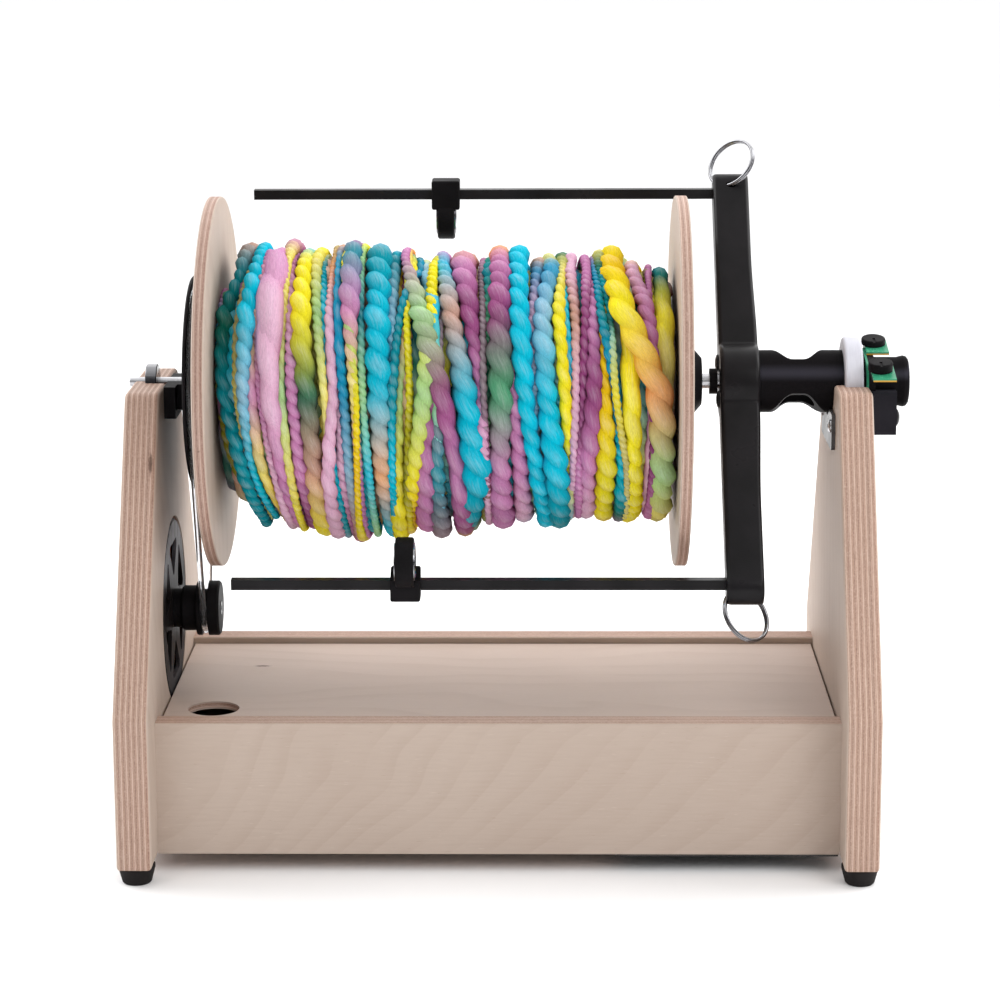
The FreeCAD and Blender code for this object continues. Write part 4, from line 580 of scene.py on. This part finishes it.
def arm_section(reach):
    """Outline of the arm across its length, at a distance from the shaft."""
    far = abs(reach)
    end = ARM_REACH - ARM_HALF
    half = ARM_HALF if far <= end else math.sqrt(max(ARM_HALF ** 2 - (far - end) ** 2, 0.04))
    disc = math.sqrt(max(HUB_RADIUS ** 2 - far ** 2, 0.0))
    half = (half ** HUB_BLEND + disc ** HUB_BLEND) ** (1 / HUB_BLEND)
    left, right = ARM_FACES
    right += HUB_RISE * smoothstep((FLARE_REACH - far) / (FLARE_REACH - HUB_RADIUS))
    inset = max(ARM_CORNER - (ARM_REACH - far), 0.0)
    inset = ARM_CORNER - math.sqrt(ARM_CORNER ** 2 - inset ** 2)
    left, right = left + inset, right - inset
    corner = min(ARM_CORNER, half * 0.9)
    outline = []
    for quarter, (x, t) in enumerate(((right - corner, half - corner), (left + corner, half - corner),
                                      (left + corner, corner - half), (right - corner, corner - half))):
        for step in range(CORNER_STEPS + 1):
            angle = math.radians(90 * quarter + 90 / CORNER_STEPS * step)
            outline.append((x + corner * math.cos(angle), t + corner * math.sin(angle)))
    return outline


def on_flyer(x, across, reach):
    """A place in the flyer's own frame, in metres."""
    turn = math.radians(FLYER_TURN)
    y = across * math.cos(turn) + reach * math.sin(turn)
    z = reach * math.cos(turn) - across * math.sin(turn)
    return x * MM, y * MM, z * MM + SHAFT_HEIGHT


def ring_tunnel(node):
    """A ring of the guide ring's size and place, thick enough to clear its wire."""
    low, high = (Vector(corner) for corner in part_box(node))
    centre = (low + high) / 2
    side = 1 if centre.z > SHAFT_HEIGHT else -1
    normal = Vector((RING_NORMAL[0], RING_NORMAL[1] * side, RING_NORMAL[2] * side)).normalized()
    first = normal.orthogonal().normalized()
    second = normal.cross(first)
    rings, sides = TUNNEL_RINGS, TUNNEL_SIDES
    points, faces = [], []
    for ring in range(rings):
        around = 2 * math.pi * ring / rings
        outward = first * math.cos(around) + second * math.sin(around)
        for step in range(sides):
            turn = 2 * math.pi * step / sides
            away = outward * (RING_RADIUS + RING_TUNNEL * math.cos(turn)) * MM
            aside = normal * RING_TUNNEL * math.sin(turn) * MM
            points.append(centre + away + aside)
            here, there = ring * sides, (ring + 1) % rings * sides
            beside = (step + 1) % sides
            faces.append((here + step, there + step, there + beside, here + beside))
    mesh = bpy.data.meshes.new("tunnel")
    mesh.from_pydata(points, [], faces)
    return bpy.data.objects.new("tunnel", mesh)


def cut(piece, cutters):
    """The piece's mesh with the cutters taken out of it."""
    bpy.context.scene.collection.objects.link(piece)
    for cutter in cutters:
        bpy.context.scene.collection.objects.link(cutter)
        modifier = piece.modifiers.new("cut", "BOOLEAN")
        modifier.object = cutter
        modifier.solver = "EXACT"
    evaluated = piece.evaluated_get(bpy.context.evaluated_depsgraph_get())
    mesh = bpy.data.meshes.new_from_object(evaluated)
    piece.modifiers.clear()
    piece.data = mesh
    for cutter in cutters:
        bpy.data.objects.remove(cutter)


def bands(rows, size):
    """Faces between neighbouring rows of so many points each."""
    faces = []
    for row in range(rows - 1):
        here, there = row * size, (row + 1) * size
        for i in range(size):
            beside = (i + 1) % size
            faces.append((here + i, here + beside, there + beside, there + i))
    return faces


def add_arm(material):
    """The bar with round ends that swells smoothly into its round hub."""
    reaches = set(np.round(np.linspace(-ARM_REACH + ARM_HALF, ARM_REACH - ARM_HALF, ARM_STATIONS), 3))
    reaches |= set(np.round(np.linspace(-HUB_RADIUS - 1, HUB_RADIUS + 1, HUB_STATIONS), 3))
    for angle in range(0, 91, END_STEP):
        far = ARM_REACH - ARM_HALF + ARM_HALF * math.sin(math.radians(angle))
        reaches |= {round(far, 3), round(-far, 3)}
    reaches = sorted(reaches)
    sections = [arm_section(reach) for reach in reaches]
    points = [on_flyer(x, t, reach) for reach, section in zip(reaches, sections) for x, t in section]
    size = len(sections[0])
    faces = bands(len(reaches), size)
    faces.append(tuple(range(size - 1, -1, -1)))
    faces.append(tuple(range(len(points) - size, len(points))))
    mesh = bpy.data.meshes.new("arm_bar")
    mesh.from_pydata(points, [], faces)
    mesh.materials.append(material)
    piece = bpy.data.objects.new("arm_bar", mesh)
    cut(piece, [ring_tunnel("guide_ring_upper"), ring_tunnel("guide_ring_lower")])
    piece.data.polygons.foreach_set("use_smooth", [True] * len(piece.data.polygons))
    piece.data.set_sharp_from_angle(angle=math.radians(ARM_CREASE))
    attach(piece, "flyer")
    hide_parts("flyer_arm")


# Dyes of the yarn, one letter each.
DYES = {
    "t": (0, 146, 160), "c": (0, 196, 222), "u": (20, 150, 190), "l": (150, 200, 222),
    "y": (252, 238, 38), "g": (246, 202, 20), "k": (242, 230, 120), "b": (190, 182, 122),
    "o": (140, 136, 34), "m": (204, 134, 182), "p": (232, 184, 210), "w": (150, 70, 124),
    "e": (66, 158, 110), "d": (8, 106, 84), "v": (166, 214, 146), "r": (240, 170, 112),
    "a": (150, 132, 140), "f": (216, 166, 144),
}
# The dyes that each one runs into along the strand, as in a hand-dyed yarn.
BLENDS = {
    "t": "cude", "c": "tul", "u": "tcl", "l": "cvu", "y": "gkv", "g": "yk", "k": "yvb", "b": "ok",
    "o": "ydb", "m": "pw", "p": "mf", "w": "ma", "e": "tdv", "d": "eto", "v": "kel", "r": "fg",
    "a": "wt", "f": "rp",
}
OWN_DYE = 0.58               # share of the keys of a turn that keep its own dye
ANY_DYE = 0.12               # share that take any dye
DYE_SEED = 23
# One row a turn as it comes down over the front, from the left. The places along the shaft and the widths
# are in millimetres at 75, 40, 5, -30 and -65 degrees above the front, then the turn's own dye, and how it
# lies: 0 under its neighbours, 1 between them, 2 over them.
KEY_ANGLES = (75, 40, 5, -30, -65)
TURNS = (
    ((-146, -146.5, -144, -139, -125), (3, 3, 3, 4, 4), "o", 0),
    ((-134, -143, -140.5, -132, -123), (5.5, 8, 7.5, 7, 5), "t", 1),
    ((-130, -134, -133.5, -129, -122), (3, 3.5, 3.5, 3, 3), "b", 0),
    ((-124, -128, -130, -127, -118), (6, 8, 6, 4, 3), "c", 1),
    ((-125, -126, -126, -122, -112), (3, 4, 5, 5, 4), "g", 0),
    ((-120, -124, -121.5, -116, -109), (3, 3, 3.2, 3.5, 3.5), "p", 2),
    ((-115, -117, -116, -111, -105), (10, 11, 9, 6, 6), "m", 1),
    ((-109, -109.5, -110.5, -107, -103), (3, 3.2, 3.5, 4, 3.5), "k", 2),
    ((-108, -106, -104.5, -101.5, -98), (4, 5, 5.5, 5.5, 5), "m", 0),
    ((-101, -101, -97, -94, -91), (7, 9, 9.5, 10, 9), "y", 1),
    ((-95, -92.5, -88, -86, -84), (5, 4, 3.2, 3, 3), "k", 1),
    ((-91, -89, -87.5, -84, -80), (3, 4, 4, 3, 3), "t", 0),
    ((-86, -86, -83.5, -87, -85), (3.5, 4, 5, 6.5, 6), "p", 2),
    ((-83, -82.5, -81, -80.5, -79), (3.2, 3.5, 3, 4, 5), "p", 0),
    ((-83, -81.5, -78.5, -76, -74), (3, 4, 4.5, 5, 5), "u", 1),
    ((-76, -75.5, -73, -71, -70), (8, 8, 4, 3, 3), "m", 1),
    ((-80, -76.5, -71.5, -72, -73), (3, 3.5, 3, 3, 3), "y", 2),
    ((-71, -70, -68.5, -66, -64), (3, 3.2, 3, 3, 3), "v", 2),
    ((-74, -73, -70, -68, -66), (4, 4, 5.5, 6, 6), "t", 0),
    ((-62, -61.5, -60, -59, -56), (12, 9.5, 9, 8.5, 8), "c", 1),
    ((-54, -54, -53, -55, -53), (5, 5, 4, 3, 3), "c", 1),
    ((-40, -50, -53.5, -54, -54), (3.5, 3.5, 3.5, 3, 3), "t", 2),
    ((-45, -47, -50, -51.5, -52), (5.5, 4, 3, 6, 6), "y", 1),
    ((-46.5, -46.5, -44.5, -46, -47), (3, 3, 3, 3.5, 3), "y", 1),
    ((-49, -39.5, -28, -21, -18), (4, 8, 8, 8, 8), "m", 2),
    ((-34, -34, -36.5, -43.5, -46), (4, 6, 8.5, 6, 4), "y", 1),
    ((-37, -33, -31, -30, -28), (6, 5.5, 4, 3, 3), "l", 1),
    ((-30, -32, -33.5, -38, -38), (3, 4, 8, 10, 10), "m", 0),
    ((-27, -29, -30, -31, -30), (3, 3, 4, 6, 8), "a", 0),
    ((-29, -24, -16.5, -10, -17), (6, 8, 9, 12, 11), "c", 1),
    ((-18.5, -14, -8.5, -6, -5), (10, 8, 5, 3, 3), "m", 1),
    ((-9, -7.5, -7, -5, -7), (3, 3, 3, 3, 4), "a", 1),
    ((-4, -5, -5, -4, -4), (7, 4, 3, 3, 5), "e", 0),
    ((1, 1, 2, 1, 2), (8, 10, 10, 8, 10), "m", 1),
    ((5, 7, 8, 12, 13), (4, 4, 5.5, 8, 8), "m", 0),
    ((10, 11, 14, 20, 25), (9, 9.5, 9, 7, 8), "c", 1),
    ((20, 17.5, 19, 21, 22), (6, 4, 3, 3, 3), "l", 0),
    ((28, 22.5, 25, 30.5, 32), (8, 9, 9, 10, 9), "c", 1),
    ((30, 29.5, 31, 33, 34), (2.5, 2.5, 3, 3, 3), "d", 0),
    ((33, 31, 34.5, 37, 37.5), (3, 5, 5, 3, 3), "y", 1),
    ((34, 35, 37.5, 39.5, 39), (3, 3, 3, 3, 3), "l", 0),
    ((37, 40, 40, 38.5, 38), (5, 4, 3.2, 3.2, 3.2), "p", 1),
    ((46, 45, 43.5, 41.5, 42), (4, 4.5, 4, 3.5, 3.5), "m", 1),
    ((48, 49, 49.5, 46, 46), (5, 6, 7.5, 8.5, 9.5), "m", 1),
    ((50, 53, 60.5, 64, 64), (3, 4, 5, 6, 6), "t", 1),
    ((52, 57.5, 60, 66.5, 67), (3, 3, 3, 3, 3), "k", 2),
    ((52, 54, 55, 56, 54.5), (3, 4, 6, 9, 8), "g", 0),
    ((66, 67, 68, 70, 70), (4, 6, 8, 8, 8), "y", 0),
    ((58, 64, 83, 85, 84.5), (11, 12, 10, 9, 9), "y", 2),
    ((69, 77, 81, 80, 79), (6, 7, 6, 4, 5), "m", 1),
    ((78, 78, 79, 79, 77), (3, 3, 4, 6, 6), "m", 0),
    ((77, 80.5, 84, 86, 86), (3, 3, 3, 3, 3), "o", 0),
    ((84.5, 85, 86, 87, 87), (8, 8, 7, 5, 4), "o", 1),
)
BACK_ANGLES = (-105, -145, -185, -225, -255)
PACKAGE_RADIUS = 62.5        # under the outer layer
PACKAGE_LEFT = -146.3
PACKAGE_RIGHT = 92.5
LEFT_DROP = 20.0             # less radius at the ends
RIGHT_DROP = 9.5
END_LENGTH = 27.0
TOP_DROP = 6.5               # less radius over the shaft, right of a place
TOP_PLACE = -44.0
SAG_ALL = 1.0                # more radius under the shaft
SAG_MIDDLE = 10.0
SAG_PLACE = -72.0
SAG_LENGTH = 55.0
WIDEN = 1.28
PLUMP = 0.10                 # how much fatter a ply is on the outside than underneath
TWIST_PITCH = 2.15           # a full twist, in strand widths
PLY_RADIUS = 0.77            # of the strand's radius
PLY_OFFSET = 0.26
LOOSE_EVERY = 150            # samples between changes from tight to loose twist
SQUASH = 0.72                # how far strands press into each other
STATION = 5                  # degrees between the places where the strands are stacked
BED = 2.4                    # how far the strand lies over the package
LIFT_SHARE = 0.45            # and how much more, of its radius
PILE_LIMIT = 5.0             # the most that a strand is lifted by those under it
BACK_WANDER = 1.2            # along the shaft, at the back
BACK_WIDTHS = (3.0, 9.0)
END_GAP = 0.2                # between the strand and a flange
OUTER_SEED = 11
LUMP_SEED = 8
INNER_SEED = 5
INNER_TURNS = 44
INNER_KEY = 60               # degrees between the inner layer's keys
INNER_RADII = (3.4, 5.0)
INNER_END = 5                # from the package's ends
INNER_DYES = "tcumweddovfkyg"
YARN_PARTS = 5
STRIP_LENGTH = 850.0         # of yarn on one strip of its map
STRIP_EDGE = 0.03
STRIP_WIDTH = 0.94
# Spacing of the samples in strand widths, sides of a ply, and seed of its unevenness.
OUTER_TUBE = (0.17, 9, 3)
INNER_TUBE = (0.30, 7, 4)


def smooth(values, width):
    """Running mean over so many samples, with the ends held."""
    if width < 2:
        return values
    padded = np.concatenate([np.full(width, values[0]), values, np.full(width, values[-1])])
    kernel = np.hanning(width + 2)[1:-1]
    return np.convolve(padded, kernel / kernel.sum(), "same")[width:-width]


def dye(letter):
    return np.array(linear(*DYES[letter])[:3])


def drawn_dye(own, draws):
    """The turn's own dye, or now and then one that it runs into, or any."""
    chance = draws.random()
    if chance < OWN_DYE:
        return own
    if chance < 1 - ANY_DYE:
        return draws.choice(BLENDS[own])
    return draws.choice(sorted(DYES))


def strand_keys(rng):
    """Keys of the whole strand: angle travelled, place along the shaft, width, dye and rank."""
    keys = []
    draws = random.Random(DYE_SEED)
    for number, (places, widths, own, rank) in enumerate(TURNS):
        start = 360 * number
        for angle, place, width in zip(KEY_ANGLES, places, widths):
            keys.append((start + KEY_ANGLES[0] - angle, place, width, dye(drawn_dye(own, draws)), rank))
        if number + 1 == len(TURNS):
            break
        following = TURNS[number + 1]
        for step, angle in enumerate(BACK_ANGLES, 1):
            share = step / (len(BACK_ANGLES) + 1)
            place = places[-1] + (following[0][0] - places[-1]) * share
            place += rng.uniform(-BACK_WANDER, BACK_WANDER)
            width = rng.choice((widths[-1], following[1][0], rng.uniform(*BACK_WIDTHS)))
            letter = rng.choice((own, following[2], rng.choice(sorted(DYES))))
            lies = rank if share < 0.5 else following[3]
            keys.append((start + KEY_ANGLES[0] - angle, place, width, dye(letter), lies))
    return keys


def package_base(place, travelled):
    """Radius on which the outer layer lies: smaller towards both ends, larger where the yarn sags."""
    left = 1 - np.clip((place - PACKAGE_LEFT) / END_LENGTH, 0, 1)
    right = 1 - np.clip((PACKAGE_RIGHT - place) / END_LENGTH, 0, 1)
    upward = np.sin(np.radians(KEY_ANGLES[0] - travelled))
    low = np.clip(-upward, 0, 1) ** 1.5
    high = np.clip(upward, 0, 1) ** 2 / (1 + np.exp((TOP_PLACE - place) / 4))
    middle = np.exp(-((place - SAG_PLACE) / SAG_LENGTH) ** 2)
    ends = LEFT_DROP * left ** 2 + RIGHT_DROP * right ** 2
    return PACKAGE_RADIUS - ends + low * (SAG_ALL + SAG_MIDDLE * middle) - high * TOP_DROP


def stack(travelled, places, radii, ranks):
    """Height of each sample of the strand over the shaft, with the turns stacked on each other."""
    heights = package_base(places, travelled) + BED + LIFT_SHARE * radii
    groups = {}
    for index, angle in enumerate(travelled):
        if angle % STATION == 0:
            groups.setdefault(int(angle) % 360, []).append(index)
    known, found = [], []
    for members in groups.values():
        laid = []
        for index in sorted(members, key=lambda i: (ranks[i], -radii[i])):
            height = heights[index]
            for other, top in laid:
                reach = (radii[index] + radii[other]) * SQUASH
                aside = abs(places[index] - places[other])
                if aside < reach:
                    height = max(height, top + math.sqrt(reach ** 2 - aside ** 2))
            height = min(height, heights[index] + PILE_LIMIT)
            laid.append((index, height))
            known.append(travelled[index])
            found.append(height)
    order = np.argsort(known)
    return smooth(np.interp(travelled, np.array(known)[order], np.array(found)[order]), 15)


def run_dyes(travelled, at, dyes):
    """The dyes of the keys, running into each other along the strand."""
    return np.stack([smooth(np.interp(travelled, at, [one[c] for one in dyes]), 15) for c in range(3)], 1)


def outer_strand():
    """Samples of the outer layer's one strand, a degree apart."""
    rng = random.Random(OUTER_SEED)
    keys = strand_keys(rng)
    at = np.array([key[0] for key in keys], float)
    travelled = np.arange(at[0] - 50, at[-1] + 51, 1.0)
    places = smooth(np.interp(travelled, at, [key[1] for key in keys]), 25)
    widths = smooth(np.interp(travelled, at, [key[2] for key in keys]), 25) * WIDEN
    lumps = np.random.default_rng(LUMP_SEED)
    short = smooth(wobble(len(widths), 22, lumps), 9)
    long = smooth(wobble(len(widths), 60, lumps), 25)
    widths *= 1 + 0.13 * short + 0.10 * long
    ends = np.clip(np.minimum(travelled - travelled[0], travelled[-1] - travelled) / 40, 0.12, 1)
    widths *= ends
    dyes = run_dyes(travelled, at, [key[3] for key in keys])
    before = np.clip(np.searchsorted(at, travelled, "right") - 1, 0, len(keys) - 1)
    ranks = np.array([keys[i][4] for i in before])
    radii = widths / 2
    places = np.clip(places, PACKAGE_LEFT + radii + END_GAP, PACKAGE_RIGHT - radii - END_GAP)
    heights = stack(travelled, places, radii, ranks)
    return travelled, places, heights, radii, dyes


def inner_strand():
    """Samples of the layer under it: even turns in mixed dyes."""
    rng = random.Random(INNER_SEED)
    travelled = np.arange(0, 360 * INNER_TURNS, 2.0)
    keys = np.arange(0, 360 * INNER_TURNS + INNER_KEY, INNER_KEY)
    radii = smooth(np.interp(travelled, keys, [rng.uniform(*INNER_RADII) for _ in keys]), 15)
    places = np.linspace(PACKAGE_LEFT + INNER_END, PACKAGE_RIGHT - INNER_END, len(travelled))
    dyes = run_dyes(travelled, keys, [dye(rng.choice(INNER_DYES)) for _ in keys])
    heights = package_base(places, travelled) + 0.8 - radii * 0.4
    return travelled, places, heights, radii, dyes


class Tubes:
    """Collects tubes into one mesh, with their dye, their fibre places and their map strips."""

    def __init__(self):
        self.points, self.faces, self.caps, self.maps = [], [], [], []
        self.dyes, self.fibres, self.lifts = [], [], []
        self.count = 0
        self.strips = 0

    def add(self, centres, first, second, radii, dyes, sides, lift):
        """One tube along the centres; first and second span its section."""
        rings = len(centres)
        turn = np.linspace(0, 2 * math.pi, sides, endpoint=False)
        first = np.cos(turn)[None, :, None] * first[:, None]
        second = np.sin(turn)[None, :, None] * second[:, None]
        points = centres[:, None] + radii[:, None, None] * (first + second)
        along = np.concatenate([[0], np.cumsum(np.linalg.norm(np.diff(centres, axis=0), axis=1))])
        across = (radii[:, None] * np.cos(turn), radii[:, None] * np.sin(turn))
        fibres = np.stack([np.repeat(along[:, None], sides, 1), *across], 2)
        ring, side = np.meshgrid(np.arange(rings - 1), np.arange(sides), indexing="ij")
        after = (side + 1) % sides
        here, there = ring * sides, (ring + 1) * sides
        quads = np.stack([here + side, here + after, there + after, there + side], -1)
        row = (along[ring] // STRIP_LENGTH).astype(int)
        start = along[ring] / STRIP_LENGTH - row
        end = start + (along[ring + 1] - along[ring]) / STRIP_LENGTH
        low = self.strips + row + STRIP_EDGE + STRIP_WIDTH * side / sides
        high = self.strips + row + STRIP_EDGE + STRIP_WIDTH * (side + 1) / sides
        corners = [np.stack(pair, -1) for pair in ((start, low), (start, high), (end, high), (end, low))]
        self.points.append(points.reshape(-1, 3))
        self.dyes.append(np.repeat(dyes, sides, 0))
        self.lifts.append((lift[:, :1] + lift[:, 1:] * np.cos(turn)).ravel())
        self.fibres.append(fibres.reshape(-1, 3))
        self.faces.append(quads.reshape(-1, 4) + self.count)
        self.maps.append(np.stack(corners, 2).reshape(-1, 4, 2))
        last = self.count + rings * sides
        self.caps.append(list(range(self.count + sides - 1, self.count - 1, -1)))
        self.caps.append(list(range(last - sides, last)))
        self.count = last
        self.strips += int(row.max()) + 1

    def build(self, name):
        points = np.concatenate(self.points) * MM
        quads = np.concatenate(self.faces)
        mesh = bpy.data.meshes.new(name)
        mesh.from_pydata(points.tolist(), [], quads.tolist() + self.caps)
        maps = np.concatenate(self.maps).reshape(-1, 2) / (1.05, self.strips)
        rest = sum(len(cap) for cap in self.caps)
        layer = mesh.uv_layers.new(name="OFBake")
        layer.data.foreach_set("uv", np.concatenate([maps, np.full((rest, 2), 0.999)]).ravel())
        colours = np.concatenate(self.dyes)
        colours = np.concatenate([colours, np.ones((len(colours), 1))], 1)
        mesh.attributes.new("dye", "FLOAT_COLOR", "POINT").data.foreach_set("color", colours.ravel())
        mesh.attributes.new("lift", "FLOAT", "POINT").data.foreach_set("value", np.concatenate(self.lifts))
        fibres = np.concatenate(self.fibres).ravel()
        mesh.attributes.new("fibre", "FLOAT_VECTOR", "POINT").data.foreach_set("vector", fibres)
        mesh.polygons.foreach_set("use_smooth", np.ones(len(mesh.polygons), bool))
        piece = bpy.data.objects.new(name, mesh)
        bpy.context.scene.collection.objects.link(piece)
        return piece


def shaft_place(travelled, places, heights):
    angle = np.radians(KEY_ANGLES[0] - travelled)
    outward = np.stack([np.zeros(len(angle)), -np.cos(angle), np.sin(angle)], 1)
    centres = outward * heights[:, None]
    centres[:, 0] = places
    centres[:, 2] += SHAFT_HEIGHT / MM
    return centres, outward


def even_samples(strand, spacing):
    """The strand's samples again, so many widths apart along its length."""
    travelled, places, heights, radii, dyes = strand
    centres, _ = shaft_place(travelled, places, heights)
    length = np.concatenate([[0], np.cumsum(np.linalg.norm(np.diff(centres, axis=0), axis=1))])
    effort = np.concatenate([[0], np.cumsum(np.diff(length) / (radii[1:] * 2 * spacing))])
    wanted = np.linspace(0, effort[-1], int(effort[-1]))
    back = [np.interp(wanted, effort, v) for v in (travelled, places, heights, radii)]
    return (*back, np.stack([np.interp(wanted, effort, dyes[:, c]) for c in range(3)], 1))


def wobble(count, every, rng):
    """Random values between -1 and 1, a new one every so many samples."""
    knots = np.arange(0, count + every, every)
    return np.interp(np.arange(count), knots, rng.uniform(-1, 1, len(knots)))


def twisted_plies(tubes, strand, sides, seed, start, stop):
    """Two plies twisted round each other along part of a strand."""
    travelled, places, heights, radii, dyes = strand
    centres, outward = shaft_place(travelled, places, heights)
    step = np.linalg.norm(np.diff(centres, axis=0), axis=1)
    rng = np.random.default_rng(seed)
    count = len(radii)
    loose = np.clip(smooth(wobble(count, LOOSE_EVERY, rng), 30) * 2.4 - 1.0, 0, 1)
    pitch = TWIST_PITCH * (1 + 0.22 * smooth(wobble(count, 40, rng), 12) + 1.3 * loose)
    twist = np.concatenate([[0], np.cumsum(step / (radii[1:] * 2 * pitch[1:]))]) * 2 * math.pi
    forward = np.gradient(centres, axis=0)
    forward /= np.linalg.norm(forward, axis=1)[:, None]
    aside = np.cross(outward, forward)
    aside /= np.linalg.norm(aside, axis=1)[:, None]
    aside *= np.sign(aside[:, :1])
    offset = radii * PLY_OFFSET * (1 - 0.45 * loose)
    for ply in range(2):
        phase = twist + math.pi * ply
        swell = 1 + 0.10 * wobble(count, 5, rng) + 0.12 * smooth(wobble(count, 22, rng), 9) + 0.10 * loose
        plump = 1 + PLUMP * np.cos(phase)
        away = outward * np.cos(phase)[:, None] + aside * np.sin(phase)[:, None]
        middle = centres + away * offset[:, None]
        shade = dyes * (1 + 0.10 * (rng.random() - 0.5))
        shade = shade * (1 + 0.12 * wobble(count, 25, rng))[:, None]
        part = slice(start, stop)
        girth = (radii * PLY_RADIUS * swell * plump)[part]
        # How far the ply's surface stands out from the strand; the yarn's painted highlight and painted
        # crease shade follow it.
        lift = np.stack([PLY_OFFSET * np.cos(phase[part]), girth / radii[part]], 1)
        tubes.add(middle[part], outward[part], aside[part], girth, shade[part], sides, lift)


def yarn_material(name):
    """Dyed wool with fine fibres along it, with a painted highlight where a strand stands out and painted
    shade, deeper in colour, in its creases.
    """
    paint = Paint(name, Roughness=0.95, Sheen_Weight=0.05, Sheen_Roughness=0.5, Specular_IOR_Level=0.03)
    fibre = paint.attribute("fibre", "Vector")
    fine = paint.noise((0.30, 5.0, 5.0), 3.0, 0.7, fibre)
    coarse = paint.noise((0.10, 1.1, 1.1), 2.0, 0.5, fibre)
    colour = paint.attribute("dye")
    # Painted shade in the creases and a painted highlight on the tops, set by how far the surface stands
    # out.
    crease_shade = paint.mix(1.0, colour, paint.mix(0.16, colour, (0.9, 0.9, 0.9, 1.0)), "MULTIPLY")
    pale = paint.mix(0.24, colour, (1.0, 1.0, 1.0, 1.0))
    height = paint.math("ADD", paint.attribute("lift", "Fac"), paint.times(coarse, 0.9))
    colour = paint.mix(paint.step(height, 0.25, 1.2, 1.0, 0.0), colour, crease_shade)
    colour = paint.mix(paint.step(height, 1.15, 2.0, 0.0, 0.9), colour, pale)
    darker = paint.mix(1.0, colour, (0.80, 0.77, 0.80, 1.0), "MULTIPLY")
    paint.colour(paint.mix(paint.step(fine, 0.36, 0.60, 0.0, 1.0), darker, colour))
    paint.bump(paint.math("ADD", fine, paint.times(coarse, 0.8)), 0.0006, 0.8)
    return paint.material


def add_yarn():
    """The outer layer in a few pieces, each with a part of the one strand, and the layer under it."""
    material = yarn_material("yarn")
    pieces = []
    spacing, sides, seed = OUTER_TUBE
    outer = even_samples(outer_strand(), spacing)
    cuts = np.linspace(0, len(outer[0]), YARN_PARTS + 1).astype(int)
    for number, (start, stop) in enumerate(zip(cuts, cuts[1:]), 1):
        tubes = Tubes()
        twisted_plies(tubes, outer, sides, seed, max(start - 1, 0), stop)
        pieces.append(tubes.build(f"yarn_turns_{number}"))
    spacing, sides, seed = INNER_TUBE
    inner = even_samples(inner_strand(), spacing)
    tubes = Tubes()
    twisted_plies(tubes, inner, sides, seed, 0, len(inner[0]))
    pieces.append(tubes.build("yarn_inner_turns"))
    for piece in pieces:
        piece.data.materials.append(material)
        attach(piece, "bobbin")
    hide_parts("yarn_winding")
    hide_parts("yarn_core")


add_camera()
add_stage()
slots = slot_materials()
dress_nodes(slots, wood_materials())
add_arm(slots["black_metal"])
add_yarn()
